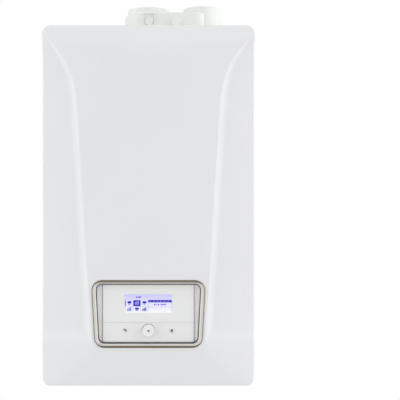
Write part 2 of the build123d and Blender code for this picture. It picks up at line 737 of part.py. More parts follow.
# Lower rail: closes the skirt between the side panels and carries the cover screws and the box hinge
with BuildPart() as lower_rail:
    with BuildSketch(out(CARCASS_D - SHEET)):
        with Locations((0, up(RAIL_H / 2))):
            Rectangle(ROOF_W, RAIL_H)
    extrude(amount=SHEET)
    with BuildSketch(level(0)):
        with Locations((0, -CARCASS_D + RAIL_FOOT / 2)):
            Rectangle(ROOF_W, RAIL_FOOT)
    extrude(amount=SHEET)
    with BuildSketch(level(TONGUE_H)):
        for x in (-COVER_SCREW_X, COVER_SCREW_X):
            with Locations((x, -CARCASS_D - TONGUE_L / 2)):
                Rectangle(3 * COVER_BOSS_D / 2, TONGUE_L)
            with Locations((x, -CARCASS_D - TONGUE_L / 2 - TONGUE_SLOT_D)):
                Rectangle(2 * (COVER_SCREW_R + FIT_GAP), TONGUE_L, mode=Mode.SUBTRACT)
    extrude(amount=TONGUE_T)
    for side in (-1, 1):
        with BuildSketch(Plane.YZ.offset(side * ARM_MID_X)):
            with BuildLine():
                Polyline(
                    (-CARCASS_D, up(ARM_FOOT_H)),
                    (-CARCASS_D - 2 * HINGE_R, up(ARM_FOOT_H)),
                    (-HINGE_D - 2 * HINGE_R, up(HINGE_H - 2 * HINGE_R)),
                    (-HINGE_D - 2 * HINGE_R, up(HINGE_H + 2 * HINGE_R)),
                    (-HINGE_D + 2 * HINGE_R, up(HINGE_H + 2 * HINGE_R)),
                    (-CARCASS_D, up(RAIL_H)),
                    close=True,
                )
            make_face()
            with Locations((-HINGE_D, up(HINGE_H))):
                Circle(HINGE_R + HINGE_CLEAR, mode=Mode.SUBTRACT)
        extrude(amount=HINGE_ARM_T / 2, both=True)
save(lower_rail, "lower_rail")

# Casing gasket between the carcass and the rim of the front cover
with BuildPart() as casing_gasket:
    with BuildSketch(out(CARCASS_D)):
        add(rounded_case(PANEL_GAP))
        add(rounded_case(SEAL_W), mode=Mode.SUBTRACT)
    extrude(amount=SEAL_T)
save(casing_gasket, "casing_gasket")


def tube(points, radius, wall, bends):
    """Tube along straight runs joined by arcs, on the current part, solid where no wall is given."""
    with BuildLine() as route:
        if bends:
            FilletPolyline(*points, radius=bends)
        else:
            Line(*points)
    with BuildSketch(Plane(origin=route.line @ 0, z_dir=route.line % 0)) as section:
        Circle(radius)
        if wall:
            Circle(radius - wall, mode=Mode.SUBTRACT)
    sweep(section.sketch, path=route.line)


def drum(axis_x, height, radius, back_d, front_d, mode=Mode.ADD):
    """Cylinder square to the wall, from one depth to another, on the current part."""
    with BuildSketch(out(back_d)) as section:
        with Locations((axis_x, up(height))):
            Circle(radius)
    extrude(section.sketch, amount=front_d - back_d, mode=mode)


# Flue adaptor: one white moulding with the flue tower, the bridge, the air collar and their sockets
with BuildPart() as flue_adaptor:
    with BuildSketch(level(CASE_H)):
        with Locations((0, -FLUE_D)):
            Circle(FLUE_BODY_R)
        with Locations((FLUE_BODY_END_X / 2 - FLUE_END_R / 2, -FLUE_D)):
            Rectangle(FLUE_BODY_END_X - FLUE_END_R, 2 * FLUE_BODY_R)
        with Locations((FLUE_BODY_END_X / 2, -FLUE_D)):
            RectangleRounded(FLUE_BODY_END_X, 2 * FLUE_BODY_R, FLUE_END_R - 1)
    extrude(amount=FLUE_BODY_TOP)
    chamfer(flue_adaptor.faces().sort_by(Axis.Z)[-1].edges(), EDGE_R)
    with BuildSketch(level(CASE_H)):
        with Locations((AIR_X, -FLUE_D)):
            Circle(AIR_RIM_R)
    extrude(amount=AIR_RIM_TOP)
    with BuildSketch(level(CASE_H + FLUE_BODY_TOP / 2)):
        with Locations((0, -FLUE_D)):
            Circle(FLUE_RIM_R)
    extrude(amount=FLUE_RIM_TOP - FLUE_BODY_TOP / 2)
    chamfer(flue_adaptor.faces().filter_by(Axis.Z).sort_by(Axis.Z)[-2:].edges(), EDGE_R / 2)
    with BuildSketch(level(CASE_H)):
        with Locations((ADAPTOR_MID_X, -FLUE_D)):
            RectangleRounded(ADAPTOR_BASE_W, ADAPTOR_BASE_L, 4 * EDGE_R)
    extrude(amount=ADAPTOR_BASE_T)
    for x, top, below in ((0, FLUE_RIM_TOP, DUCT_R + FIT_GAP), (AIR_X, AIR_RIM_TOP, AIR_HOLE_R)):
        with BuildSketch(level(CASE_H + top - SOCKET_DEPTH)):
            with Locations((x, -FLUE_D)):
                Circle(SOCKET_R)
        extrude(amount=SOCKET_DEPTH, mode=Mode.SUBTRACT)
        with BuildSketch(level(CASE_H + top - SOCKET_DEPTH)):
            with Locations((x, -FLUE_D)):
                Circle(SOCKET_R + SEAL_RING_T)
        extrude(amount=2 * SEAL_RING_T, mode=Mode.SUBTRACT)
        with BuildSketch(level(CASE_H)):
            with Locations((x, -FLUE_D)):
                Circle(below)
        extrude(amount=top, mode=Mode.SUBTRACT)
    with BuildSketch(out(FLUE_FRONT_D - RECESS_DEEP)):
        with Locations((TEST_1_X, up(CASE_H + TEST_1_H))):
            Circle(TEST_R)
        with Locations((TEST_1_X, up(CASE_H + (TEST_1_H + RECESS_TOP) / 2))):
            Rectangle(2 * TEST_R - RIB_W, RECESS_TOP - TEST_1_H)
    extrude(amount=2 * RECESS_DEEP, mode=Mode.SUBTRACT)
    with BuildSketch(level(CASE_H)):
        with Locations(*[(TEST_1_X + side * (TEST_R + RIB_W / 2), RIB_Y) for side in (-1, 1)]):
            Rectangle(RIB_W, RIB_DEEP)
    extrude(amount=FLUE_BODY_TOP - EDGE_R)
    with BuildSketch(level(CASE_H)):
        with Locations(*ADAPTOR_SCREWS):
            Circle(SCREW_R + FIT_GAP)
    extrude(amount=ADAPTOR_BASE_T, mode=Mode.SUBTRACT)
save(flue_adaptor, "flue_adaptor")

# Socket seals: a rubber ring in the groove at the foot of each socket
with BuildPart() as socket_seals:
    for x, top in ((0, FLUE_RIM_TOP), (AIR_X, AIR_RIM_TOP)):
        with BuildSketch(level(CASE_H + top - SOCKET_DEPTH)):
            with Locations((x, -FLUE_D)):
                Circle(SOCKET_R + SEAL_RING_T - PANEL_GAP)
                Circle(SOCKET_R - SEAL_RING_T, mode=Mode.SUBTRACT)
        extrude(amount=2 * SEAL_RING_T - PANEL_GAP)
save(socket_seals, "socket_seals")

# Test point caps: one at the foot of the recess between the ribs, one on the bridge
with BuildPart() as test_point_caps:
    for x, height, back_d in (
        (TEST_1_X, TEST_1_H, FLUE_FRONT_D - RECESS_DEEP),
        (TEST_2_X, TEST_2_H, FLUE_FRONT_D),
    ):
        drum(x, CASE_H + height, TEST_R - FIT_GAP, back_d, back_d + TEST_PROUD)
    chamfer(test_point_caps.faces().filter_by(Axis.Y).group_by(Axis.Y)[0].edges(), EDGE_R / 3)
    chamfer(test_point_caps.faces().filter_by(Axis.Y).group_by(Axis.Y)[1].edges(), EDGE_R / 3)
save(test_point_caps, "test_point_caps")

# Casing screws: pan heads that hold the adaptor's base to the roof
with BuildPart() as casing_screws:
    with BuildSketch(level(CASE_H + ADAPTOR_BASE_T)):
        with Locations(*ADAPTOR_SCREWS):
            Circle(SCREW_HEAD_R)
    extrude(amount=SCREW_HEAD_T)
    with BuildSketch(level(CASE_H)):
        with Locations(*ADAPTOR_SCREWS):
            Circle(SCREW_R)
    extrude(amount=ADAPTOR_BASE_T)
save(casing_screws, "casing_screws")

# Flue pipe from the heat exchanger's outlet up into the adaptor
with BuildPart() as flue_pipe:
    tube(
        [(0, -FLUE_D, up(STUB_LOW_H + EDGE_R)), (0, -FLUE_D, up(CASE_H + FLUE_RIM_TOP - SOCKET_DEPTH))],
        DUCT_R,
        DUCT_WALL,
        0,
    )
save(flue_pipe, "flue_pipe")

# Heat exchanger: hollow round drum with pressed hoops, a flue outlet on top and water ports below
with BuildPart() as heat_exchanger:
    drum(0, DRUM_H, DRUM_R - DRUM_WALL, DRUM_BACK_D, DRUM_FRONT_D)
    for hoop in range(HOOPS):
        hoop_d = DRUM_BACK_D + hoop * (DRUM_FRONT_D - DRUM_BACK_D - HOOP_W) / (HOOPS - 1)
        drum(0, DRUM_H, DRUM_R, hoop_d, hoop_d + HOOP_W)
    with BuildSketch(level(STUB_LOW_H - 2 * EDGE_R)):
        with Locations((0, -FLUE_D)):
            Circle(DUCT_R + DRUM_WALL)
    extrude(amount=STUB_TOP_H - STUB_LOW_H)
    for x in (-FLOW_X, RETURN_X):
        with BuildSketch(level(PORT_LOW_H)):
            with Locations((x, -PIPE_D)):
                Circle(TUBE_R + DRUM_WALL)
        extrude(amount=DRUM_R / 2)
    with BuildSketch(level(DRUM_H - DRUM_R)):
        with Locations((DRAIN_X, -DRAIN_D)):
            Circle(DRAIN_R)
    extrude(amount=DRUM_R / 4)
    drum(0, DRUM_H, DRUM_R - 2 * DRUM_WALL, DRUM_BACK_D + DRUM_WALL, DRUM_FRONT_D - DRUM_WALL, Mode.SUBTRACT)
    drum(0, DRUM_H, DOOR_R - 2 * DRUM_WALL, DRUM_FRONT_D - 2 * DRUM_WALL, DRUM_FRONT_D, Mode.SUBTRACT)
    with BuildSketch(level(STUB_LOW_H + EDGE_R)):
        with Locations((0, -FLUE_D)):
            Circle(DUCT_R + FIT_GAP / 2)
    extrude(amount=STUB_TOP_H - STUB_LOW_H, mode=Mode.SUBTRACT)
    with BuildSketch(level(STUB_LOW_H - DRUM_R / 3)):
        with Locations((0, -FLUE_D)):
            Circle(DUCT_R - DUCT_WALL)
    extrude(amount=DRUM_R / 2, mode=Mode.SUBTRACT)
save(heat_exchanger, "heat_exchanger")

# Burner: perforated tube hung from the door inside the drum
with BuildPart() as burner:
    drum(0, DRUM_H, BURNER_R, DRUM_BACK_D + DRUM_R / 4, DRUM_FRONT_D)
    drum(0, DRUM_H, BURNER_R - DUCT_WALL, DRUM_BACK_D + DRUM_R / 4 + DUCT_WALL, DRUM_FRONT_D, Mode.SUBTRACT)
save(burner, "burner")


def elbow_section(x, height, depth, width):
    """Rectangular section of the elbow between the fan's outlet and the burner door."""
    with BuildSketch(level(height)) as section:
        with Locations((x, -depth)):
            Rectangle(width, ELBOW_T)
    return section.sketch


# Burner door: round casting bolted to the drum, with the elbow that brings the mixture up from the fan
with BuildPart() as burner_door:
    drum(0, DRUM_H, DOOR_R, DRUM_FRONT_D, DRUM_FRONT_D + DOOR_T)
    with BuildSketch(out(DRUM_FRONT_D)):
        with Locations((0, up(DRUM_H))):
            with PolarLocations(DOOR_R, 6):
                Circle(DOOR_T)
    extrude(amount=DOOR_T)
    drum(0, DRUM_H, BURNER_R + DOOR_T, DRUM_FRONT_D + DOOR_T, ELBOW_D + ELBOW_T / 2)
    for stations in zip(ELBOW_STATIONS, ELBOW_STATIONS[1:]):
        loft([elbow_section(*station) for station in stations], ruled=True)
    with BuildSketch(out(DRUM_FRONT_D)):
        with Locations((ELECTRODE_X, up(ELECTRODE_H))):
            Circle(ELECTRODE_R + FIT_GAP)
    extrude(amount=DOOR_T, mode=Mode.SUBTRACT)
save(burner_door, "burner_door")

# Ignition electrode: ceramic body and rod through the burner door
with BuildPart() as ignition_electrode:
    drum(ELECTRODE_X, ELECTRODE_H, ELECTRODE_R, DRUM_FRONT_D - DRUM_R / 4, DRUM_FRONT_D + 2 * DOOR_T)
    drum(ELECTRODE_X, ELECTRODE_H, 2 * ELECTRODE_R, DRUM_FRONT_D + DOOR_T, DRUM_FRONT_D + 2 * DOOR_T - EDGE_R)
save(ignition_electrode, "ignition_electrode")

# Fan housing: hollow volute with its inlet at the back and its outlet duct rising to the burner door
with BuildPart() as fan_housing:
    drum(FAN_X, FAN_H, FAN_R, FAN_BACK_D, FAN_FRONT_D)
    with BuildSketch(out(FAN_BACK_D)):
        with Locations((OUTLET_X, up((FAN_H + OUTLET_TOP_H) / 2))):
            Rectangle(ELBOW_W, OUTLET_TOP_H - FAN_H)
    extrude(amount=FAN_FRONT_D - FAN_BACK_D)
    drum(FAN_X, FAN_H, FAN_R - FAN_WALL, FAN_BACK_D + FAN_WALL, FAN_FRONT_D - FAN_WALL, Mode.SUBTRACT)
    with BuildSketch(out(FAN_BACK_D + FAN_WALL)):
        with Locations((OUTLET_X, up((FAN_H + OUTLET_TOP_H) / 2))):
            Rectangle(ELBOW_W - 2 * FAN_WALL, OUTLET_TOP_H - FAN_H)
    extrude(amount=FAN_FRONT_D - FAN_BACK_D - 2 * FAN_WALL, mode=Mode.SUBTRACT)
    drum(FAN_X, FAN_H, FAN_INLET_R, FAN_BACK_D, FAN_BACK_D + FAN_WALL, Mode.SUBTRACT)
    drum(FAN_X, FAN_H, 2 * SHAFT_R, FAN_FRONT_D - FAN_WALL, FAN_FRONT_D, Mode.SUBTRACT)
save(fan_housing, "fan_housing")

# Fan motor on the front of the housing
with BuildPart() as fan_motor:
    drum(FAN_X, FAN_H, MOTOR_R, FAN_FRONT_D, FAN_FRONT_D + MOTOR_D)
    chamfer(fan_motor.faces().sort_by(Axis.Y)[0].edges(), EDGE_R)
    drum(FAN_X, FAN_H, SHAFT_R + HINGE_CLEAR, FAN_FRONT_D, FAN_FRONT_D + MOTOR_D / 2, Mode.SUBTRACT)
save(fan_motor, "fan_motor")

# Fan impeller: back plate, curved row of blades and shaft, turning inside the housing
with BuildPart() as fan_impeller:
    drum(FAN_X, FAN_H, IMPELLER_R, IMPELLER_D - FAN_WALL / 2, IMPELLER_D)
    drum(FAN_X, FAN_H, SHAFT_R, IMPELLER_D, FAN_FRONT_D + MOTOR_D / 2 - EDGE_R)
    with BuildSketch(out(IMPELLER_D)):
        with Locations((FAN_X, up(FAN_H))):
            with PolarLocations((IMPELLER_R + FAN_INLET_R) / 2, BLADES):
                Rectangle(IMPELLER_R - FAN_INLET_R, FAN_WALL / 2, rotation=BLADE_TURN)
    extrude(amount=-IMPELLER_DEEP)
save(fan_impeller, "fan_impeller")

# Gas valve: cast block with its regulator cap, flanged to the mixer
with BuildPart() as gas_valve:
    with BuildSketch(level(VALVE_LOW_H)):
        with Locations((VALVE_END_X - VALVE_W / 2, -VALVE_BACK_D - VALVE_DEEP / 2)):
            Rectangle(VALVE_W, VALVE_DEEP)
    extrude(amount=VALVE_H)
    fillet(gas_valve.edges().filter_by(Axis.Z), EDGE_R)
    with BuildSketch(level(VALVE_LOW_H + VALVE_H)):
        with Locations((VALVE_END_X - VALVE_W / 2, -VALVE_BACK_D - VALVE_DEEP / 2)):
            Circle(VALVE_DEEP / 3)
    extrude(amount=VALVE_DEEP / 4)
save(gas_valve, "gas_valve")

# Air and gas mixer behind the fan, with arms to the gas valve and to the intake snorkel
with BuildPart() as air_mixer:
    drum(FAN_X, FAN_H, MIXER_R, VALVE_BACK_D + MIXER_ARM_R / 2, FAN_BACK_D)
    with BuildSketch(Plane.YZ.offset(VALVE_END_X)):
        with Locations((-SNORKEL_D, up(FAN_H))):
            Circle(MIXER_ARM_R)
    extrude(amount=FAN_X - VALVE_END_X)
    with BuildSketch(Plane.YZ.offset(FAN_X)):
        with Locations((-SNORKEL_D, up(FAN_H))):
            Circle(SNORKEL_R)
    extrude(amount=SNORKEL_START_X - FAN_X)
    drum(FAN_X, FAN_H, FAN_INLET_R - EDGE_R, SNORKEL_D, FAN_BACK_D, Mode.SUBTRACT)
save(air_mixer, "air_mixer")

# Air intake snorkel up the right side of the chamber
with BuildPart() as air_intake_snorkel:
    tube(
        [
            (SNORKEL_START_X, -SNORKEL_D, up(FAN_H)),
            (SNORKEL_X, -SNORKEL_D, up(FAN_H)),
            (SNORKEL_X, -SNORKEL_D, up(SNORKEL_TOP_H)),
        ],
        SNORKEL_R,
        2 * DUCT_WALL,
        1.5 * SNORKEL_R,
    )
save(air_intake_snorkel, "air_intake_snorkel")

# Expansion vessel: two pressed dishes joined at a crimped rim, standing against the back frame
with BuildPart() as expansion_vessel:
    with BuildSketch(Plane.YZ.shift_origin((0, 0, up(VESSEL_H)))):
        with BuildLine():
            front_dish = [(-VESSEL_MID_D - out_by, radius) for out_by, radius in DISH]
            back_dish = [(-VESSEL_MID_D + out_by, radius) for out_by, radius in reversed(DISH)]
            Polyline(*front_dish, *back_dish, close=True)
        make_face()
    revolve(axis=Axis((0, 0, up(VESSEL_H)), (0, 1, 0)))
    with BuildSketch(Plane.YZ.shift_origin((0, 0, up(VESSEL_H)))):
        with BuildLine():
            front_void = [(-VESSEL_MID_D - out_by, radius) for out_by, radius in VOID]
            back_void = [(-VESSEL_MID_D + out_by, radius) for out_by, radius in reversed(VOID)]
            Polyline(*front_void, *back_void, close=True)
        make_face()
    revolve(axis=Axis((0, 0, up(VESSEL_H)), (0, 1, 0)), mode=Mode.SUBTRACT)
    with BuildSketch(level(VESSEL_PORT_H)):
        with Locations((PIPE_X[0], -VESSEL_MID_D)):
            Circle(DRAIN_R)
    extrude(amount=VESSEL_R / 4)
save(expansion_vessel, "expansion_vessel")

# Vessel pipe from the vessel's port to the back of the diverter valve
with BuildPart() as vessel_pipe:
    tube(
        [
            (PIPE_X[0], -VESSEL_MID_D, up(VESSEL_PORT_H)),
            (PIPE_X[0], -VESSEL_MID_D, up(DIVERTER_BACK_H)),
            (PIPE_X[0], -PIPE_D + DIVERTER_R + EDGE_R, up(DIVERTER_BACK_H)),
        ],
        0.7 * DRAIN_R,
        0,
        2 * DRAIN_R,
    )
save(vessel_pipe, "vessel_pipe")

# Pump: cast volute on the heating return, with a side arm to the plate exchanger and an automatic air vent
with BuildPart() as pump_body:
    drum(PIPE_X[4], PUMP_H, PUMP_R, PUMP_BACK_D, PUMP_FRONT_D)
    chamfer(pump_body.faces().sort_by(Axis.Y)[-1].edges(), 2 * EDGE_R)
    with BuildSketch(level(PUMP_H)):
        with Locations((PIPE_X[4], -PIPE_D)):
            Circle(TUBE_R + DRUM_WALL)
    extrude(amount=-PUMP_R - 2 * EDGE_R)
    with BuildSketch(level(PUMP_H)):
        with Locations((RETURN_X, -PIPE_D)):
            Circle(TUBE_R + DRUM_WALL)
    extrude(amount=PUMP_R + 2 * EDGE_R)
    with BuildSketch(Plane.YZ.offset(PLATES_END_X)):
        with Locations((-PIPE_D, up(PUMP_H))):
            Circle(PORT_R)
    extrude(amount=PIPE_X[4] - PLATES_END_X)
    with BuildSketch(level(PUMP_H)):
        with Locations((PIPE_X[4] + PUMP_R / 2, -PIPE_D)):
            Circle(PORT_R)
    extrude(amount=VENT_TOP_H - PUMP_H)
    chamfer(pump_body.faces().sort_by(Axis.Z)[-1].edges(), EDGE_R)
save(pump_body, "pump_body")

# Pump motor: ribbed head on the front of the volute
with BuildPart() as pump_motor:
    drum(PIPE_X[4], PUMP_H, PUMP_MOTOR_R, PUMP_FRONT_D, PUMP_FRONT_D + PUMP_MOTOR_D)
    chamfer(pump_motor.faces().sort_by(Axis.Y)[0].edges(), EDGE_R)
    drum(PIPE_X[4], PUMP_H, PUMP_MOTOR_R + EDGE_R, PUMP_FRONT_D, PUMP_FRONT_D + 2 * EDGE_R)
save(pump_motor, "pump_motor")

# Plate heat exchanger: brazed pack of plates with a step between its end plates
with BuildPart() as plate_heat_exchanger:
    for inset, back_d, front_d in (
        (0, PLATES_BACK_D, PLATES_BACK_D + EDGE_R),
        (EDGE_R, PLATES_BACK_D + EDGE_R, PLATES_BACK_D + PLATES_D - EDGE_R),
        (0, PLATES_BACK_D + PLATES_D - EDGE_R, PLATES_BACK_D + PLATES_D),
    ):
        with BuildSketch(out(back_d)):
            with Locations((PLATES_END_X - PLATES_W / 2, up(PLATES_LOW_H + PLATES_H / 2))):
                RectangleRounded(PLATES_W - 2 * inset, PLATES_H - 2 * inset, PLATES_R - inset)
        extrude(amount=front_d - back_d)
save(plate_heat_exchanger, "plate_heat_exchanger")

# Diverter valve on the heating flow, with arms to the plate exchanger, the flow pipe and the vessel pipe
with BuildPart() as diverter_valve:
    with BuildSketch(level(DIVERTER_LOW_H)):
        with Locations((PIPE_X[0], -PIPE_D)):
            Circle(DIVERTER_R)
    extrude(amount=DIVERTER_TOP_H - DIVERTER_LOW_H)
    with BuildSketch(Plane.YZ.offset(PIPE_X[0])):
        with Locations((-PIPE_D, up(PUMP_H))):
            Circle(PORT_R)
    extrude(amount=PLATES_END_X - PLATES_W - PIPE_X[0])
    drum(PIPE_X[0], DIVERTER_BACK_H, DRAIN_R, PIPE_D - DIVERTER_R - EDGE_R, PIPE_D)
    with BuildSketch(Plane.YZ.offset(PIPE_X[0])):
        with Locations((-PIPE_D, up(RELIEF_H))):
            Circle(DRAIN_R)
    extrude(amount=-DIVERTER_R - EDGE_R)
save(diverter_valve, "diverter_valve")

# Diverter actuator: moulded motor head on top of the valve
with BuildPart() as diverter_actuator:
    with BuildSketch(level(DIVERTER_TOP_H)):
        with Locations((PIPE_X[0], -PIPE_D)):
            RectangleRounded(2 * DIVERTER_R + 2 * EDGE_R, 2 * DIVERTER_R + 4 * EDGE_R, 2 * EDGE_R)
    extrude(amount=ACTUATOR_H)
    chamfer(diverter_actuator.faces().sort_by(Axis.Z)[-1].edges(), EDGE_R)
save(diverter_actuator, "diverter_actuator")

# Relief valve: brass body beside the diverter with its discharge tube through the bottom plate
with BuildPart() as relief_valve:
    with BuildSketch(Plane.YZ.offset(PIPE_X[0] - DIVERTER_R - EDGE_R)):
        with Locations((-PIPE_D, up(RELIEF_H))):
            Circle(DRAIN_R)
    extrude(amount=PIPE_X[0] - DIVERTER_R - EDGE_R - (-RELIEF_X), dir=(-1, 0, 0))
    drum(-RELIEF_X, RELIEF_H, RELIEF_R, PIPE_D - RELIEF_R, RELIEF_FRONT_D)
    with BuildSketch(level(RELIEF_H)):
        with Locations((-RELIEF_X, -PIPE_D)):
            Circle(RELIEF_TUBE_R)
    extrude(amount=-(RELIEF_H - RELIEF_TUBE_LOW_H))
    with BuildSketch(level(RELIEF_TUBE_LOW_H)):
        with Locations((-RELIEF_X, -PIPE_D)):
            Circle(RELIEF_TUBE_R - DUCT_WALL)
    extrude(amount=PLATE_H - RELIEF_TUBE_LOW_H, mode=Mode.SUBTRACT)
    seat_r = SHAFT_R + HINGE_CLEAR
    drum(-RELIEF_X, RELIEF_H, seat_r, RELIEF_FRONT_D - 2 * SHAFT_R, RELIEF_FRONT_D, Mode.SUBTRACT)
save(relief_valve, "relief_valve")

# Relief valve knob: fluted cap that is turned to lift the valve off its seat
with BuildPart() as relief_knob:
    drum(-RELIEF_X, RELIEF_H, RELIEF_KNOB_R, RELIEF_FRONT_D + FIT_GAP, RELIEF_FRONT_D + RELIEF_KNOB_R)
    with BuildSketch(out(RELIEF_FRONT_D + FIT_GAP)):
        with Locations((-RELIEF_X, up(RELIEF_H))):
            with PolarLocations(RELIEF_KNOB_R, 6):
                Circle(EDGE_R, mode=Mode.ADD)
    extrude(amount=RELIEF_KNOB_R - FIT_GAP, mode=Mode.SUBTRACT)
    drum(-RELIEF_X, RELIEF_H, SHAFT_R, RELIEF_FRONT_D - 2 * SHAFT_R + FIT_GAP, RELIEF_FRONT_D + EDGE_R)
save(relief_knob, "relief_knob")


def nipple(axis_x, radius):
    """Threaded nipple from below the casing up to the tube, with a neck that ends the free thread."""
    with BuildSketch(level(-PIPE_BELOW)) as thread:
        with Locations((axis_x, -PIPE_D)):
            Circle(radius)
    extrude(thread.sketch, amount=NIPPLE_TOP_H + PIPE_BELOW)
    with BuildSketch(level(-PIPE_BELOW)) as bore:
        with Locations((axis_x, -PIPE_D)):
            Circle(radius - PIPE_WALL)
    extrude(bore.sketch, amount=NIPPLE_TOP_H + PIPE_BELOW - PIPE_WALL, mode=Mode.SUBTRACT)
    with BuildSketch(level(NIPPLE_END_H)) as neck:
        with Locations((axis_x, -PIPE_D)):
            Circle(radius + PIPE_WALL)
            Circle(radius - PIPE_WALL / 3, mode=Mode.SUBTRACT)
    extrude(neck.sketch, amount=NIPPLE_NECK, mode=Mode.SUBTRACT)


# Connection pipes: threaded nipples through the bottom plate, each with the tube above it
for label, x, nipple_r, top_h in (
    ("heating_flow_pipe", PIPE_X[0], G34_R, DIVERTER_LOW_H),
    ("hot_water_pipe", PIPE_X[1], G12_R, PLATES_LOW_H + EDGE_R),
    ("cold_water_pipe", PIPE_X[3], G12_R, PLATES_LOW_H + EDGE_R),
    ("heating_return_pipe", PIPE_X[4], G34_R, PUMP_H - PUMP_R - 2 * EDGE_R),
):
    with BuildPart() as pipe:
        nipple(x, nipple_r)
        with BuildSketch(level(NIPPLE_TOP_H)):
            with Locations((x, -PIPE_D)):
                Circle(TUBE_R)
        extrude(amount=top_h - NIPPLE_TOP_H)
    save(pipe, label)

# Gas pipe: threaded nipple and a tube that steps forward past the plate exchanger up to the gas valve
with BuildPart() as gas_pipe:
    nipple(PIPE_X[2], G34_R)
    tube(
        [
            (PIPE_X[2], -PIPE_D, up(NIPPLE_TOP_H - PIPE_WALL)),
            (PIPE_X[2], -PIPE_D, up(GAS_BEND_H)),
            (PIPE_X[2], -GAS_D, up(GAS_BEND_H + GAS_D - PIPE_D)),
            (PIPE_X[2], -GAS_D, up(VALVE_LOW_H)),
        ],
        TUBE_R,
        0,
        1.5 * TUBE_R,
    )
save(gas_pipe, "gas_pipe")

# Pipe nuts: hexagon back nuts that clamp the nipples to the bottom plate
with BuildPart() as pipe_nuts:
    for x, nipple_r in zip(PIPE_X, (G34_R, G12_R, G34_R, G12_R, G34_R)):
        with BuildSketch(level(PLATE_H - NUT_T)):
            with Locations((x, -PIPE_D)):
                RegularPolygon(nipple_r + NUT_MARGIN, 6)
                Circle(nipple_r + HINGE_CLEAR, mode=Mode.SUBTRACT)
        extrude(amount=NUT_T)
save(pipe_nuts, "pipe_nuts")

# Exchanger pipes: hot flow down to the side of the diverter valve, cool return up from the pump
with BuildPart() as exchanger_flow_pipe:
    tube(
        [
            (-FLOW_X, -PIPE_D, up(PORT_LOW_H)),
            (-FLOW_X, -PIPE_D, up(FLOW_PORT_H)),
            (PIPE_X[0] + DIVERTER_R, -PIPE_D, up(FLOW_PORT_H)),
        ],
        TUBE_R,
        0,
        1.5 * TUBE_R,
    )
save(exchanger_flow_pipe, "exchanger_flow_pipe")

with BuildPart() as exchanger_return_pipe:
    tube(
        [(RETURN_X, -PIPE_D, up(PUMP_H + PUMP_R + 2 * EDGE_R)), (RETURN_X, -PIPE_D, up(PORT_LOW_H))],
        TUBE_R,
        0,
        0,
    )
save(exchanger_return_pipe, "exchanger_return_pipe")

# Filling tap: cross tube between the cold inlet and the heating return, with a spindle seat below
with BuildPart() as filling_tap:
    with BuildSketch(Plane.YZ.offset(PIPE_X[3] + TUBE_R)):
        with Locations((-PIPE_D, up(TAP_H))):
            Circle(DRAIN_R)
    extrude(amount=PIPE_PITCH - 2 * TUBE_R)
    with BuildSketch(level(TAP_LOW_H)):
        with Locations((TAP_X, -PIPE_D)):
            Circle(DRAIN_R + EDGE_R)
    extrude(amount=TAP_H - TAP_LOW_H)
    with BuildSketch(level(TAP_LOW_H)):
        with Locations((TAP_X, -PIPE_D)):
            Circle(TAP_SPINDLE_R + HINGE_CLEAR)
    extrude(amount=2 * TAP_SPINDLE_R, mode=Mode.SUBTRACT)
save(filling_tap, "filling_tap")

# Filling tap knob: spindle through the bottom plate and a lobed hand knob in the skirt
with BuildPart() as filling_tap_knob:
    with BuildSketch(level(TAP_KNOB_LOW_H)):
        with Locations((TAP_X, -PIPE_D)):
            Circle(TAP_SPINDLE_R)
    extrude(amount=TAP_LOW_H + 2 * TAP_SPINDLE_R - FIT_GAP - TAP_KNOB_LOW_H)
    with BuildSketch(level(TAP_KNOB_LOW_H)):
        with Locations((TAP_X, -PIPE_D)):
            Circle(0.8 * TAP_KNOB_R)
            with PolarLocations(0.8 * TAP_KNOB_R, 5):
                Circle(0.2 * TAP_KNOB_R)
    extrude(amount=TAP_KNOB_R)
save(filling_tap_knob, "filling_tap_knob")

# Condensate trap with its outlet straight down through the bottom plate, and the pipe from the drum
with BuildPart() as condensate_trap:
    with BuildSketch(level(TRAP_LOW_H)):
        with Locations((CONDENSATE_X, -DRAIN_D)):
            Circle(TRAP_R)
    extrude(amount=TRAP_H)
    chamfer(condensate_trap.faces().sort_by(Axis.Z)[0].edges(), 2 * EDGE_R)
    with BuildSketch(level(TRAP_LOW_H + TRAP_H)):
        with Locations((CONDENSATE_X, -DRAIN_D)):
            Circle(DRAIN_R)
    extrude(amount=2 * EDGE_R)
    with BuildSketch(level(-PIPE_BELOW + EDGE_R)):
        with Locations((CONDENSATE_X, -DRAIN_D)):
            Circle(CONDENSATE_R)
    extrude(amount=TRAP_LOW_H + PIPE_BELOW - EDGE_R)
    with BuildSketch(level(-PIPE_BELOW + EDGE_R)):
        with Locations((CONDENSATE_X, -DRAIN_D)):
            Circle(CONDENSATE_R - PIPE_WALL)
    extrude(amount=TRAP_LOW_H + TRAP_R, mode=Mode.SUBTRACT)
    with BuildSketch(level(NIPPLE_END_H)):
        with Locations((CONDENSATE_X, -DRAIN_D)):
            Circle(CONDENSATE_R + PIPE_WALL)
            Circle(CONDENSATE_R - PIPE_WALL / 3, mode=Mode.SUBTRACT)
    extrude(amount=NIPPLE_NECK, mode=Mode.SUBTRACT)
save(condensate_trap, "condensate_trap")

with BuildPart() as condensate_pipe:
    tube(
        [
            (DRAIN_X, -DRAIN_D, up(DRUM_H - DRUM_R)),
            (DRAIN_X, -DRAIN_D, up(DRAIN_RUN_H)),
            (CONDENSATE_X, -DRAIN_D, up(DRAIN_RUN_H - DRAIN_FALL)),
            (CONDENSATE_X, -DRAIN_D, up(TRAP_LOW_H + TRAP_H + 2 * EDGE_R)),
        ],
        DRAIN_R,
        0,
        2 * DRAIN_R,
    )
save(condensate_pipe, "condensate_pipe")

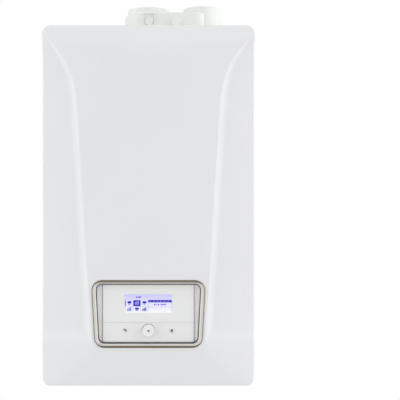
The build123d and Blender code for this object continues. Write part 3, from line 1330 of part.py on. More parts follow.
# Control box: moulded tray, open at the back, hung on two trunnions low at its front
with BuildPart() as control_box:
    with BuildSketch(out(BOX_BACK_D)):
        with Locations((0, up(BOX_MID_H))):
            RectangleRounded(BOX_W, BOX_H, BOX_CORNER_R)
    extrude(amount=BOX_FRONT_D - BOX_BACK_D)
    with BuildSketch(out(BOX_BACK_D)):
        with Locations((0, up(BOX_MID_H))):
            RectangleRounded(BOX_W - 2 * BOX_WALL, BOX_H - 2 * BOX_WALL, BOX_CORNER_R - BOX_WALL)
    extrude(amount=BOX_FRONT_D - BOX_BACK_D - BOX_WALL, mode=Mode.SUBTRACT)
    with BuildSketch(out(BOX_FRONT_D - BOX_WALL)):
        with Locations((0, up(FASCIA_CENTRE_H))):
            RectangleRounded(FASCIA_W - 4 * FASCIA_T, FASCIA_H - 4 * FASCIA_T, FASCIA_T)
    extrude(amount=BOX_WALL, mode=Mode.SUBTRACT)
    with BuildSketch(Plane.YZ):
        with Locations((-HINGE_D, up(HINGE_H))):
            Circle(HINGE_R)
    extrude(amount=ARM_MID_X + HINGE_ARM_T, both=True)
    with BuildSketch(Plane.YZ):
        with Locations((-HINGE_D, up(HINGE_H))):
            Rectangle(4 * HINGE_R, 4 * HINGE_R)
    extrude(amount=BOX_W / 2 - BOX_WALL, both=True, mode=Mode.SUBTRACT)
save(control_box, "control_box")

# Control box lid: back plate with a locating rim and four board posts
with BuildPart() as control_box_lid:
    with BuildSketch(out(BOX_BACK_D - BOX_WALL)):
        with Locations((0, up(BOX_MID_H))):
            RectangleRounded(BOX_W, BOX_H, BOX_CORNER_R)
    extrude(amount=BOX_WALL)
    with BuildSketch(out(BOX_BACK_D)):
        with Locations((0, up(BOX_MID_H))):
            RectangleRounded(LID_RIM_W, LID_RIM_H, BOX_CORNER_R - BOX_WALL)
            RectangleRounded(
                LID_RIM_W - 2 * BOX_WALL, LID_RIM_H - 2 * BOX_WALL, BOX_CORNER_R / 2, mode=Mode.SUBTRACT
            )
    extrude(amount=2 * BOX_WALL)
    with BuildSketch(out(BOX_BACK_D)):
        with Locations((0, up(BOX_MID_H))):
            with GridLocations(BOARD_W - 6 * SCREW_R, BOARD_H - 6 * SCREW_R, 2, 2):
                Circle(2 * SCREW_R)
    extrude(amount=MAIN_BOARD_D - BOX_BACK_D)
save(control_box_lid, "control_box_lid")

# Main board: circuit board on the lid's posts with its relays, transformer and terminal strips
with BuildPart() as main_board:
    with BuildSketch(out(MAIN_BOARD_D)):
        with Locations((0, up(BOX_MID_H))):
            Rectangle(BOARD_W, BOARD_H)
    extrude(amount=BOARD_T)
    for x, height, width, tall, deep in BOARD_PARTS:
        with BuildSketch(out(MAIN_BOARD_D + BOARD_T)):
            with Locations((x * BOARD_W, up(BOX_MID_H + height * BOARD_H))):
                Rectangle(width * BOARD_W, tall * BOARD_H)
        extrude(amount=deep)
save(main_board, "main_board")

# Control surround: raised plinth in the window that carries the fascia
with BuildPart() as control_surround:
    with BuildSketch(out(BOX_FRONT_D)):
        with Locations((0, up(WINDOW_CENTRE_H))):
            add(window_outline(-SURROUND_CLEAR))
    extrude(amount=SURROUND_D - BOX_FRONT_D)
    fillet(control_surround.faces().sort_by(Axis.Y)[0].edges(), EDGE_R / 2)
    with BuildSketch(out(BOX_FRONT_D)):
        with Locations((0, up(WINDOW_CENTRE_H))):
            add(window_outline(-SURROUND_CLEAR - BOX_WALL))
    extrude(amount=SURROUND_D - BOX_FRONT_D - BOX_WALL, mode=Mode.SUBTRACT)
    with BuildSketch(out(BOX_FRONT_D)):
        with Locations((0, up(FASCIA_CENTRE_H))):
            Rectangle(FASCIA_W + 2 * FASCIA_GAP, FASCIA_H + 2 * FASCIA_GAP)
    extrude(amount=SURROUND_D - BOX_FRONT_D, mode=Mode.SUBTRACT)
save(control_surround, "control_surround")

# Control fascia: moulded panel with a raised upper field, the screen opening, knob ring and button holes
with BuildPart() as control_fascia:
    with BuildSketch(out(PANEL_BOARD_D)):
        with Locations((0, up(FASCIA_CENTRE_H))):
            RectangleRounded(FASCIA_W, FASCIA_H, FASCIA_T)
    extrude(amount=FASCIA_LOW_D - PANEL_BOARD_D)
    with BuildSketch(out(PANEL_BOARD_D)):
        with Locations((0, up(FASCIA_CENTRE_H))):
            RectangleRounded(FASCIA_W - 2 * FASCIA_T, FASCIA_H - 2 * FASCIA_T, FASCIA_T / 2)
    extrude(amount=FASCIA_LOW_D - PANEL_BOARD_D - FASCIA_T, mode=Mode.SUBTRACT)
    with BuildSketch(out(FASCIA_LOW_D)):
        with Locations((0, up((FASCIA_TOP_H + OVERLAY_LINE_H) / 2))):
            RectangleRounded(FASCIA_W, FASCIA_TOP_H - OVERLAY_LINE_H, OVERLAY_T)
        with Locations((0, up(CONTROLS_H))):
            Circle(KNOB_RING_R)
            Circle(KNOB_RING_R - KNOB_RING_W, mode=Mode.SUBTRACT)
    extrude(amount=OVERLAY_T)
    with BuildSketch(out(PANEL_BOARD_D)):
        with Locations((0, up(SCREEN_CENTRE_H))):
            Rectangle(SCREEN_W + 2 * HINGE_CLEAR, SCREEN_H + 2 * HINGE_CLEAR)
        with Locations((0, up(CONTROLS_H))):
            Circle(SHAFT_R + CONTROL_GAP)
        with Locations((-BUTTON_X, up(CONTROLS_H)), (BUTTON_X, up(CONTROLS_H))):
            Circle(BUTTON_R + CONTROL_GAP)
    extrude(amount=FASCIA_D - PANEL_BOARD_D, mode=Mode.SUBTRACT)
save(control_fascia, "control_fascia")

# Display window: clear lens in the screen opening, resting on the display
with BuildPart() as display_window:
    with BuildSketch(out(FASCIA_D - LENS_T)):
        with Locations((0, up(SCREEN_CENTRE_H))):
            Rectangle(SCREEN_W, SCREEN_H)
    extrude(amount=LENS_T)
save(display_window, "display_window")

# Display module: panel board behind the fascia with the display standing up to the lens
with BuildPart() as display_module:
    with BuildSketch(out(PANEL_BOARD_D - BOARD_T)):
        with Locations((0, up(FASCIA_CENTRE_H))):
            RectangleRounded(FASCIA_W, FASCIA_H, FASCIA_T)
    extrude(amount=BOARD_T)
    with BuildSketch(out(PANEL_BOARD_D)):
        with Locations((0, up(SCREEN_CENTRE_H))):
            Rectangle(SCREEN_W - 2 * LENS_T, SCREEN_H - 2 * LENS_T)
    extrude(amount=FASCIA_D - LENS_T - PANEL_BOARD_D)
save(display_module, "display_module")

# Panel switches: rotary encoder body behind the knob and a tact switch behind each button
with BuildPart() as panel_switches:
    with BuildSketch(out(PANEL_BOARD_D)):
        with Locations((0, up(CONTROLS_H))):
            Rectangle(ENCODER_W, ENCODER_W)
    extrude(amount=ENCODER_DEEP)
    with BuildSketch(out(PANEL_BOARD_D)):
        with Locations((-BUTTON_X, up(CONTROLS_H)), (BUTTON_X, up(CONTROLS_H))):
            Rectangle(SWITCH_W, SWITCH_W)
    extrude(amount=SWITCH_DEEP)
    bush_r = SHAFT_R + HINGE_CLEAR
    drum(0, CONTROLS_H, bush_r, PANEL_BOARD_D + OVERLAY_T, PANEL_BOARD_D + ENCODER_DEEP, Mode.SUBTRACT)
save(panel_switches, "panel_switches")

# Encoder shaft: sprung plunger that turns no further than its detents and is pressed with the knob
with BuildPart() as encoder_shaft:
    drum(0, CONTROLS_H, SHAFT_R, SHAFT_BACK_D, KNOB_FRONT_D - EDGE_R)
save(encoder_shaft, "encoder_shaft")

# Control knob: domed cap with a dished face on the encoder shaft
with BuildPart() as control_knob:
    drum(0, CONTROLS_H, KNOB_R, KNOB_BACK_D, KNOB_FRONT_D)
    chamfer(control_knob.faces().sort_by(Axis.Y)[0].edges(), EDGE_R / 2)
    drum(0, CONTROLS_H, 0.72 * KNOB_R, KNOB_FRONT_D - OVERLAY_T, KNOB_FRONT_D, Mode.SUBTRACT)
    drum(0, CONTROLS_H, SHAFT_R + HINGE_CLEAR, KNOB_BACK_D, KNOB_FRONT_D - EDGE_R, Mode.SUBTRACT)
save(control_knob, "control_knob")

# Buttons: round caps behind the fascia's holes, each with a collar and a stem over its switch
for x, label in ((-BUTTON_X, "back_button"), (BUTTON_X, "menu_button")):
    with BuildPart() as button:
        drum(x, CONTROLS_H, BUTTON_R, BUTTON_COLLAR_D, FASCIA_LOW_D + BUTTON_PROUD)
        chamfer(button.faces().sort_by(Axis.Y)[0].edges(), BUTTON_PROUD / 2)
        drum(x, CONTROLS_H, BUTTON_R + FASCIA_T / 2, BUTTON_COLLAR_D - BUTTON_PROUD, BUTTON_COLLAR_D)
        drum(x, CONTROLS_H, SCREW_R, BUTTON_STEM_D, BUTTON_COLLAR_D)
    save(button, label)
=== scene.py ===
import json
from math import atan2, cos, pi, radians, sin, sqrt

import bmesh
import bpy
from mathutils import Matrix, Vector


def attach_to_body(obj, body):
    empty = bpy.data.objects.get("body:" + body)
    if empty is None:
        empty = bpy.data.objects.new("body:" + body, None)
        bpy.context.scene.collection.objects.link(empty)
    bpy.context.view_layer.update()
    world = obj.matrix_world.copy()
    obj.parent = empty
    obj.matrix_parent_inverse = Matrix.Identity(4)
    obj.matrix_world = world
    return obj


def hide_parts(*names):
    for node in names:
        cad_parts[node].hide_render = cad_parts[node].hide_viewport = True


# Wall-hung condensing gas boiler. Lengths in the tables and formulas below are millimetres: x to the right
# seen from the front, depth (D) out from the wall, height (H) up from the casing's lower edge. place() turns
# them into the shared frame. Camera and lamps are in metres.
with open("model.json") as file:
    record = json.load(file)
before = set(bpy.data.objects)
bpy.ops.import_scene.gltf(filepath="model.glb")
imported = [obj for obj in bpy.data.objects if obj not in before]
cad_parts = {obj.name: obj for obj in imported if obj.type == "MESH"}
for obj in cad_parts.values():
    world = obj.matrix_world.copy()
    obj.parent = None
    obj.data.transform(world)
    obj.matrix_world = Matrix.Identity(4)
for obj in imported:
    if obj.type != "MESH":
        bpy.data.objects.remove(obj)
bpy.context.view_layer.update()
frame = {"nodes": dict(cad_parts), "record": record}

MM = 0.001
BODY_OF = {node: body for body, nodes in frame["record"]["behaviour"]["bodies"].items() for node in nodes}
SLOT_OF = {part["node"]: part["material_slot"] for part in frame["record"]["subparts"]}

# Casing and front cover
CASE_W = 450
CASE_H = 763
CASE_D = 345
CASE_ABOVE_BOLTS = 55
BASE = CASE_ABOVE_BOLTS - CASE_H
CORNER_R = 18
COVER_BACK_D = 275
COVER_WALL = 2.5
CROWN = 6
EDGE_R = 3
BAND_H = 50
BAND_SLOPE = 0.245
FACET_H = 88
FACET_SLOPE = 0.15
CREASE_LOW = 114.3
CREASE_LEAN = 0.061
FLARE_START_H = 602
FLARE_R = 195
FLARE_END = 0.97
COVE_W = 16
COVE_STEP = 7
COVE_CURVE = 1.55
COVE_LEFT = 0.05
COVE_TAPER = 0.8
WING_LEAN = 0.119
FADE_END_H = 122
TAPER_LOW_H = 600
TAPER_HIGH_H = 745
FOLD_SOFT = 1.6
CREASE_SOFT = 0.7
POCKET_D = 322
POCKET_DEEP_D = 340
POCKET_INSET = 8
POCKET_TOP_H = 700

# Control window and panel
WINDOW_TOP_W = 241.5
WINDOW_BOTTOM_W = 226.5
WINDOW_H = 142.4
WINDOW_CENTRE_H = 153.2
WINDOW_R = 22
TRIM_BACK_D = 338
TRIM_LIP = 3
FASCIA_D = 337
SCREEN_W = 100.6
SCREEN_H = 39.4
SCREEN_CENTRE_H = 174.2
CONTROLS_H = 117.7
BUTTON_X = 49.4


def place(x, depth, height):
    """A point of the shared frame in metres."""
    return Vector((x * MM, -depth * MM, (BASE + height) * MM))


# Camera, light and stage

MID_Z = (BASE + CASE_H / 2) * MM
CAMERA_Y = -2.250
LENS = 81.6
SHIFT_X = 0.129
SHIFT_Y = 0.0136
scene = bpy.context.scene
scene.view_settings.view_transform = "Standard"

camera_data = bpy.data.cameras.new("camera")
camera_data.sensor_width = 36
camera_data.lens = LENS
camera_data.shift_x = SHIFT_X
camera_data.shift_y = SHIFT_Y
camera = bpy.data.objects.new("camera", camera_data)
camera.location = (0, CAMERA_Y, MID_Z)
camera.rotation_euler = (radians(90), 0, 0)
scene.collection.objects.link(camera)
scene.camera = camera

# Name, x, y and height over the casing's middle, width, height and watts; each lamp faces the boiler's middle
LAMPS = (
    ("softbox_left", -2.0, -0.95, 0.2, 1.4, 3.6, 41),
    ("softbox_right", 2.0, -0.95, 0.2, 1.4, 3.6, 43),
    ("softbox_front_left", -1.4, -3.0, 0.8, 1.1, 1.6, 4.4),
    ("softbox_front_right", 1.4, -3.0, 0.8, 1.1, 1.6, 4.8),
    ("softbox_low", 0, -2.0, -1.0, 2.2, 0.7, 8),
    ("softbox_top", 0, -0.9, 2.2, 2.2, 1.6, 15),
    ("softbox_back", 0, 2.2, 1.0, 2.4, 1.6, 8),
)
MIDDLE = Vector((0, -0.2, MID_Z))
for name, x, y, rise, width, height, watts in LAMPS:
    lamp = bpy.data.lights.new(name, "AREA")
    lamp.shape = "RECTANGLE"
    lamp.size, lamp.size_y = width, height
    lamp.energy = watts
    box = bpy.data.objects.new(name, lamp)
    box.location = (x, y, MID_Z + rise)
    box.rotation_euler = (MIDDLE - Vector((x, y, MID_Z + rise))).to_track_quat("-Z", "Y").to_euler()
    scene.collection.objects.link(box)


def white_to_the_eye(tree):
    """Light Path mask: 1 for camera, glossy and transmission rays, 0 for the rays that light the object."""
    path = tree.nodes.new("ShaderNodeLightPath")
    first = tree.nodes.new("ShaderNodeMath")
    first.operation = "ADD"
    first.use_clamp = True
    tree.links.new(path.outputs["Is Camera Ray"], first.inputs[0])
    tree.links.new(path.outputs["Is Glossy Ray"], first.inputs[1])
    second = tree.nodes.new("ShaderNodeMath")
    second.operation = "ADD"
    second.use_clamp = True
    tree.links.new(first.outputs[0], second.inputs[0])
    tree.links.new(path.outputs["Is Transmission Ray"], second.inputs[1])
    return second.outputs[0]


WORLD_LIGHT = 0.26
FLOOR_PALE = 0.5
world = bpy.data.worlds.new("studio")
scene.world = world
world.use_nodes = True
tree = world.node_tree
background = tree.nodes["Background"]
background.inputs["Color"].default_value = (1, 1, 1, 1)
mask = white_to_the_eye(tree)
level = tree.nodes.new("ShaderNodeMapRange")
level.inputs["To Min"].default_value = WORLD_LIGHT
level.inputs["To Max"].default_value = 1.0
tree.links.new(mask, level.inputs["Value"])
tree.links.new(level.outputs["Result"], background.inputs["Strength"])

# The floor lies well below the wall-hung boiler, so that it is seen from below as well
FLOOR_Z = (BASE - 2150) * MM
FLOOR_HALF = 2.5
FLOOR_SPAN = ((-1, -1), (1, -1), (1, 1), (-1, 1))
floor_mesh = bpy.data.meshes.new("floor")
floor_mesh.from_pydata([(x * FLOOR_HALF, y * FLOOR_HALF, FLOOR_Z) for x, y in FLOOR_SPAN], [], [(0, 1, 2, 3)])
floor = bpy.data.objects.new("floor", floor_mesh)
scene.collection.objects.link(floor)
floor_finish = bpy.data.materials.new("floor")
floor_finish.use_nodes = True
tree = floor_finish.node_tree
shader = tree.nodes["Principled BSDF"]
shader.inputs["Base Color"].default_value = (0.86, 0.86, 0.86, 1)
shader.inputs["Roughness"].default_value = 0.9
shader.inputs["Emission Color"].default_value = (1, 1, 1, 1)
pale = tree.nodes.new("ShaderNodeMapRange")
pale.inputs["To Max"].default_value = FLOOR_PALE
tree.links.new(white_to_the_eye(tree), pale.inputs["Value"])
tree.links.new(pale.outputs["Result"], shader.inputs["Emission Strength"])
floor_mesh.materials.append(floor_finish)


# Materials


def linear(red, green, blue):
    """Linear colour of an sRGB one, each from 0 to 255."""
    values = []
    for channel in (red, green, blue):
        share = channel / 255
        values.append(share / 12.92 if share <= 0.04045 else ((share + 0.055) / 1.055) ** 2.4)
    return (*values, 1)


GLOSS_VARY = 0.06


def finish(name, colour, rough, metal=0.0, vary=0.04, patch=14, grain=600, bump=0.02, bevel=0.5,
           stretch=(1, 1, 1), specular=0.5, spangle=False):
    """Procedural finish: slow drift or zinc spangle in colour and gloss, fine grain, softened edges."""
    material = bpy.data.materials.new(name)
    material.use_nodes = True
    nodes, links = material.node_tree.nodes, material.node_tree.links
    shader = nodes["Principled BSDF"]
    shader.inputs["Metallic"].default_value = metal
    shader.inputs["Specular IOR Level"].default_value = specular
    place_node = nodes.new("ShaderNodeTexCoord")
    scale = nodes.new("ShaderNodeMapping")
    scale.inputs["Scale"].default_value = stretch
    links.new(place_node.outputs["Object"], scale.inputs["Vector"])
    drift = nodes.new("ShaderNodeTexVoronoi" if spangle else "ShaderNodeTexNoise")
    drift.inputs["Scale"].default_value = patch
    drift.inputs["Detail"].default_value = 0 if spangle else 3
    drift_value = drift.outputs["Color" if spangle else "Fac"]
    links.new(scale.outputs["Vector"], drift.inputs["Vector"])
    ramp = nodes.new("ShaderNodeValToRGB")
    ramp.color_ramp.elements[0].position = 0.3
    ramp.color_ramp.elements[1].position = 0.7
    ramp.color_ramp.elements[0].color = [*[channel * (1 - vary) for channel in colour[:3]], 1]
    ramp.color_ramp.elements[1].color = [*[min(1, channel * (1 + vary)) for channel in colour[:3]], 1]
    links.new(drift_value, ramp.inputs["Fac"])
    links.new(ramp.outputs["Color"], shader.inputs["Base Color"])
    gloss = nodes.new("ShaderNodeMapRange")
    gloss.inputs["To Min"].default_value = max(0.02, rough - GLOSS_VARY)
    gloss.inputs["To Max"].default_value = min(1, rough + GLOSS_VARY)
    links.new(drift_value, gloss.inputs["Value"])
    links.new(gloss.outputs["Result"], shader.inputs["Roughness"])
    fine = nodes.new("ShaderNodeTexNoise")
    fine.inputs["Scale"].default_value = grain
    fine.inputs["Detail"].default_value = 2
    links.new(scale.outputs["Vector"], fine.inputs["Vector"])
    relief = nodes.new("ShaderNodeBump")
    relief.inputs["Strength"].default_value = bump
    relief.inputs["Distance"].default_value = 0.001
    links.new(fine.outputs["Fac"], relief.inputs["Height"])
    if bevel:
        round_edge = nodes.new("ShaderNodeBevel")
        round_edge.samples = 4
        round_edge.inputs["Radius"].default_value = bevel * MM
        links.new(round_edge.outputs["Normal"], relief.inputs["Normal"])
    links.new(relief.outputs["Normal"], shader.inputs["Normal"])
    return material


def glow(name, low, high=None, low_h=0, high_h=1):
    """Lit display colour, plain or graded between two heights."""
    material = bpy.data.materials.new(name)
    material.use_nodes = True
    nodes, links = material.node_tree.nodes, material.node_tree.links
    shader = nodes["Principled BSDF"]
    shader.inputs["Base Color"].default_value = (0, 0, 0, 1)
    shader.inputs["Roughness"].default_value = 0.6
    shader.inputs["Emission Strength"].default_value = 1.0
    shader.inputs["Specular IOR Level"].default_value = 0.0
    place_node = nodes.new("ShaderNodeTexCoord")
    split = nodes.new("ShaderNodeSeparateXYZ")
    links.new(place_node.outputs["Object"], split.inputs["Vector"])
    along = nodes.new("ShaderNodeMapRange")
    along.inputs["From Min"].default_value = (BASE + low_h) * MM
    along.inputs["From Max"].default_value = (BASE + high_h) * MM
    links.new(split.outputs["Z"], along.inputs["Value"])
    ramp = nodes.new("ShaderNodeValToRGB")
    ramp.color_ramp.elements[0].color = low
    ramp.color_ramp.elements[1].color = high or low
    links.new(along.outputs["Result"], ramp.inputs["Fac"])
    links.new(ramp.outputs["Color"], shader.inputs["Emission Color"])
    return material


def clear_lens(name):
    """Thin clear plastic over the display."""
    material = finish(name, (0.9, 0.9, 0.95, 1), 0.12, vary=0.01, bump=0.0, bevel=0)
    shader = material.node_tree.nodes["Principled BSDF"]
    shader.inputs["Alpha"].default_value = 0.04
    return material


FINISHES = {
    "cover_white": finish("cover_white", (0.80, 0.805, 0.82, 1), 0.50, vary=0.006, patch=5, grain=1400,
                          bump=0.015, specular=0.1),
    "casing_white": finish("casing_white", (0.80, 0.805, 0.815, 1), 0.40, vary=0.01, patch=6, grain=900,
                           bump=0.05),
    "frame_steel": finish("frame_steel", (0.52, 0.53, 0.54, 1), 0.4, metal=0.9, vary=0.045, patch=190,
                          grain=300, spangle=True),
    "trim_satin": finish("trim_satin", (0.42, 0.41, 0.385, 1), 0.5, metal=0.95, vary=0.02, patch=4,
                         bump=0.008),
    "surround_grey": finish("surround_grey", (0.93, 0.93, 0.94, 1), 0.45, vary=0.008, grain=1500, bump=0.01),
    "fascia_white": finish("fascia_white", (0.825, 0.828, 0.83, 1), 0.44, vary=0.006, grain=1600, bump=0.03,
                           specular=0.2),
    "lens_clear": clear_lens("lens_clear"),
    "display_lilac": finish("display_lilac", (0.10, 0.12, 0.13, 1), 0.45),
    "knob_white": finish("knob_white", (0.80, 0.80, 0.81, 1), 0.34, vary=0.006, grain=1500),
    "box_grey": finish("box_grey", (0.52, 0.53, 0.54, 1), 0.55, grain=1100, bump=0.12),
    "board_green": finish("board_green", (0.03, 0.17, 0.07, 1), 0.35, vary=0.15, patch=60),
    "switch_black": finish("switch_black", (0.02, 0.02, 0.022, 1), 0.45, grain=900, bump=0.06),
    "adaptor_white": finish("adaptor_white", (0.85, 0.875, 0.83, 1), 0.48, vary=0.01, grain=900, bump=0.02,
                            specular=0.1),
    "rubber_black": finish("rubber_black", (0.022, 0.022, 0.022, 1), 0.75, grain=700, bump=0.12),
    "screw_steel": finish("screw_steel", (0.66, 0.66, 0.68, 1), 0.30, metal=1.0, vary=0.06),
    "clip_black": finish("clip_black", (0.03, 0.03, 0.032, 1), 0.5, grain=900, bump=0.08),
    "vessel_red": finish("vessel_red", (0.46, 0.022, 0.018, 1), 0.33, vary=0.07, patch=7, grain=260,
                         bump=0.05),
    "exchanger_steel": finish("exchanger_steel", (0.40, 0.41, 0.42, 1), 0.5, metal=1.0, vary=0.08, patch=9,
                              grain=420, stretch=(1, 12, 1)),
    "burner_steel": finish("burner_steel", (0.42, 0.35, 0.29, 1), 0.42, metal=1.0, vary=0.2),
    "ceramic": finish("ceramic", (0.84, 0.82, 0.76, 1), 0.2, vary=0.02),
    "cast_alloy": finish("cast_alloy", (0.34, 0.35, 0.36, 1), 0.64, metal=0.95, vary=0.08, grain=330,
                         bump=0.25),
    "motor_black": finish("motor_black", (0.03, 0.03, 0.034, 1), 0.48, grain=700, bump=0.08),
    "pump_iron": finish("pump_iron", (0.09, 0.095, 0.10, 1), 0.55, metal=0.3, vary=0.12, grain=260, bump=0.3),
    "plates_steel": finish("plates_steel", (0.68, 0.66, 0.62, 1), 0.3, metal=1.0, vary=0.08,
                           stretch=(1, 8, 1)),
    "brass": finish("brass", (0.74, 0.54, 0.24, 1), 0.3, metal=1.0, vary=0.08, patch=30, grain=380,
                    bump=0.06),
    "copper": finish("copper", (0.72, 0.36, 0.22, 1), 0.3, metal=1.0, vary=0.14, patch=22, grain=320,
                     bump=0.03),
    "trap_grey": finish("trap_grey", (0.60, 0.61, 0.62, 1), 0.5, vary=0.02, grain=900, bump=0.06),
    "knob_red": finish("knob_red", (0.48, 0.02, 0.016, 1), 0.4, vary=0.03, grain=900),
    "knob_blue": finish("knob_blue", (0.02, 0.07, 0.34, 1), 0.4, vary=0.03, grain=900),
}
BRONZE = finish("bronze_line", linear(94, 83, 67), 0.36, metal=0.95, vary=0.03)
# Painted shade: a dark colour for gaps, slots and lips that fall in shadow
PAINTED_SHADE = finish("painted_shade", linear(62, 61, 60), 0.6, vary=0.02)
SYMBOL = finish("panel_symbol", linear(34, 36, 42), 0.55, vary=0.02, bevel=0)
# Painted shade: the shadow line in the fascia's step
STEP_SHADE = finish("step_shade", linear(210, 212, 216), 0.5, vary=0.02, bevel=0)
CAP_LINE = finish("cap_line", linear(206, 211, 204), 0.5, vary=0.02, bevel=0)
# Painted shade: the shadow arc round the top of the knob
RING_SHADOW = finish("ring_shadow", linear(138, 142, 154), 0.5, vary=0.02, bevel=0)


# Mesh helpers


def attach(obj, node, replace=True):
    """Rides a finished piece on the body of a node, and lets it stand for the node."""
    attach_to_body(obj, BODY_OF[node])
    if replace:
        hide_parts(node)
    return obj


def mesh_piece(name, builder, materials, angle=35):
    """Object from a bmesh, shaded smooth up to an angle."""
    mesh = bpy.data.meshes.new(name)
    builder.normal_update()
    builder.to_mesh(mesh)
    builder.free()
    for material in materials:
        mesh.materials.append(material)
    for polygon in mesh.polygons:
        polygon.use_smooth = True
    mesh.set_sharp_from_angle(angle=radians(angle))
    obj = bpy.data.objects.new(name, mesh)
    scene.collection.objects.link(obj)
    return obj


def applied(obj):
    """Puts the result of an object's modifiers into its mesh."""
    graph = bpy.context.evaluated_depsgraph_get()
    mesh = bpy.data.meshes.new_from_object(obj.evaluated_get(graph))
    obj.modifiers.clear()
    old = obj.data
    obj.data = mesh
    bpy.data.meshes.remove(old)
    return obj


def rounded(obj, width, segments=3, angle=30):
    """Rounds an object's sharp edges and keeps its broad faces flat in shading."""
    edge = obj.modifiers.new("edge", "BEVEL")
    edge.width = width * MM
    edge.segments = segments
    edge.limit_method = "ANGLE"
    edge.angle_limit = radians(angle)
    edge.use_clamp_overlap = True
    edge.harden_normals = False
    applied(obj)
    for polygon in obj.data.polygons:
        polygon.use_smooth = True
    obj.data.set_sharp_from_angle(angle=radians(35))
    level_faces = obj.modifiers.new("level_faces", "WEIGHTED_NORMAL")
    level_faces.mode = "FACE_AREA"
    level_faces.keep_sharp = True
    return applied(obj)


def refine(node, width=0.5, segments=2):
    """Finished copy of a CAD node: joined faces, rounded edges and its own procedural finish."""
    builder = bmesh.new()
    builder.from_mesh(frame["nodes"][node].data)
    bmesh.ops.remove_doubles(builder, verts=builder.verts, dist=1e-6)
    bmesh.ops.dissolve_limit(builder, angle_limit=radians(0.6), verts=builder.verts, edges=builder.edges)
    bmesh.ops.recalc_face_normals(builder, faces=builder.faces)
    piece = mesh_piece(node + "_finished", builder, [FINISHES[SLOT_OF[node]]])
    for polygon in piece.data.polygons:
        polygon.material_index = 0
    if width:
        rounded(piece, width, segments)
    return attach(piece, node)


def boolean(obj, cutter, operation="DIFFERENCE"):
    """Applies one exact boolean and removes the cutter."""
    step = obj.modifiers.new("cut", "BOOLEAN")
    step.operation = operation
    step.solver = "EXACT"
    step.object = cutter
    bpy.context.view_layer.update()
    applied(obj)
    bpy.data.objects.remove(cutter)
    return obj


def prism(name, outline, back, front, materials=()):
    """Straight block over an outline of (x, height) points, between two depths."""
    builder = bmesh.new()
    rear = [builder.verts.new(place(x, back, height)) for x, height in outline]
    face = [builder.verts.new(place(x, front, height)) for x, height in outline]
    count = len(outline)
    for i in range(count):
        builder.faces.new((rear[i], rear[(i + 1) % count], face[(i + 1) % count], face[i]))
    builder.faces.new(list(reversed(rear)))
    builder.faces.new(face)
    bmesh.ops.recalc_face_normals(builder, faces=builder.faces)
    return mesh_piece(name, builder, materials)


def lathe(name, x, height, profile, materials, steps=64, hole=False):
    """Turned piece about an axis out from the wall: profile of (radius, depth) points from back to front."""
    builder = bmesh.new()
    rings = []
    turns = [2 * pi * step / steps for step in range(steps)]
    for radius, depth in profile:
        if radius == 0:
            rings.append([builder.verts.new(place(x, depth, height))])
            continue
        circle = [(x + radius * cos(turn), height + radius * sin(turn)) for turn in turns]
        rings.append([builder.verts.new(place(spot_x, depth, spot_h)) for spot_x, spot_h in circle])
    pairs = list(zip(rings, rings[1:]))
    if hole:
        pairs.append((rings[-1], rings[0]))
    for low, high in pairs:
        for i in range(steps):
            j = (i + 1) % steps
            if len(low) == 1:
                builder.faces.new((low[0], high[j], high[i]))
            elif len(high) == 1:
                builder.faces.new((low[i], low[j], high[0]))
            else:
                builder.faces.new((low[i], low[j], high[j], high[i]))
    bmesh.ops.recalc_face_normals(builder, faces=builder.faces)
    return mesh_piece(name, builder, materials, angle=40)


# Front cover


def crease(height):
    """Half width of the raised centre panel: a leaning line that flares out in an arc near the top."""
    if height <= FLARE_START_H:
        return CREASE_LOW + CREASE_LEAN * height
    start = CREASE_LOW + CREASE_LEAN * FLARE_START_H
    lean = atan2(CREASE_LEAN, 1)
    rise = min(FLARE_END * FLARE_R, height - FLARE_START_H + FLARE_R * sin(lean))
    return start + FLARE_R * cos(lean) - sqrt(FLARE_R**2 - rise**2)


def soft_min(first, second, radius):
    """Smaller of two depths, with the fold between them rounded."""
    overlap = max(radius - abs(first - second), 0) / radius
    return min(first, second) - overlap * overlap * radius / 4


def half_width(height):
    """Half width of the rounded casing outline at a height."""
    end = min(height, CASE_H - height)
    if end >= CORNER_R:
        return CASE_W / 2
    return CASE_W / 2 - CORNER_R + sqrt(max(0, CORNER_R**2 - (CORNER_R - end) ** 2))


def inside(x, height):
    """Distance of a point in from the rounded casing outline."""
    qx = abs(x) - (CASE_W / 2 - CORNER_R)
    qh = abs(height - CASE_H / 2) - (CASE_H / 2 - CORNER_R)
    return CORNER_R - sqrt(max(qx, 0) ** 2 + max(qh, 0) ** 2) - min(max(qx, qh), 0)


def fade(height):
    """How much of the cove is left: it runs out above the facet, and narrows along the flare."""
    share = min(1, max(0, (height - FACET_H) / (FADE_END_H - FACET_H)))
    climb = min(1, max(0, (height - TAPER_LOW_H) / (TAPER_HIGH_H - TAPER_LOW_H)))
    return (COVE_LEFT + (1 - COVE_LEFT) * share * share * (3 - 2 * share)) * (1 - COVE_TAPER * climb * climb)


def crown(x):
    """Depth of the crowned centre panel."""
    return CASE_D - CROWN * (x / (CASE_W / 2)) ** 2


def cover_depth(x, height):
    """Depth of the cover's front: crowned panel, hollow coves, leaning wings, top band and bottom facet."""
    side = abs(x)
    crest = crease(height)
    strength = fade(height)
    cove = COVE_W * strength
    step = COVE_STEP * strength
    wing = crown(crest) - step - WING_LEAN * (side - crest - cove)
    reach = max(0, 1 - (side - crest) / cove)
    rise = crown(crest) - (crown(crest) - step + WING_LEAN * cove)
    outer = wing + rise * reach**COVE_CURVE
    depth = soft_min(crown(x), outer, CREASE_SOFT)
    band = CASE_D - BAND_SLOPE * (height - (CASE_H - BAND_H))
    facet = CASE_D - FACET_SLOPE * (FACET_H - height)
    depth = soft_min(depth, band, FOLD_SOFT)
    depth = soft_min(depth, facet, FOLD_SOFT)
    rim = min(EDGE_R, max(0, inside(x, height)))
    return depth - (EDGE_R - sqrt(max(0, EDGE_R**2 - (EDGE_R - rim) ** 2)))


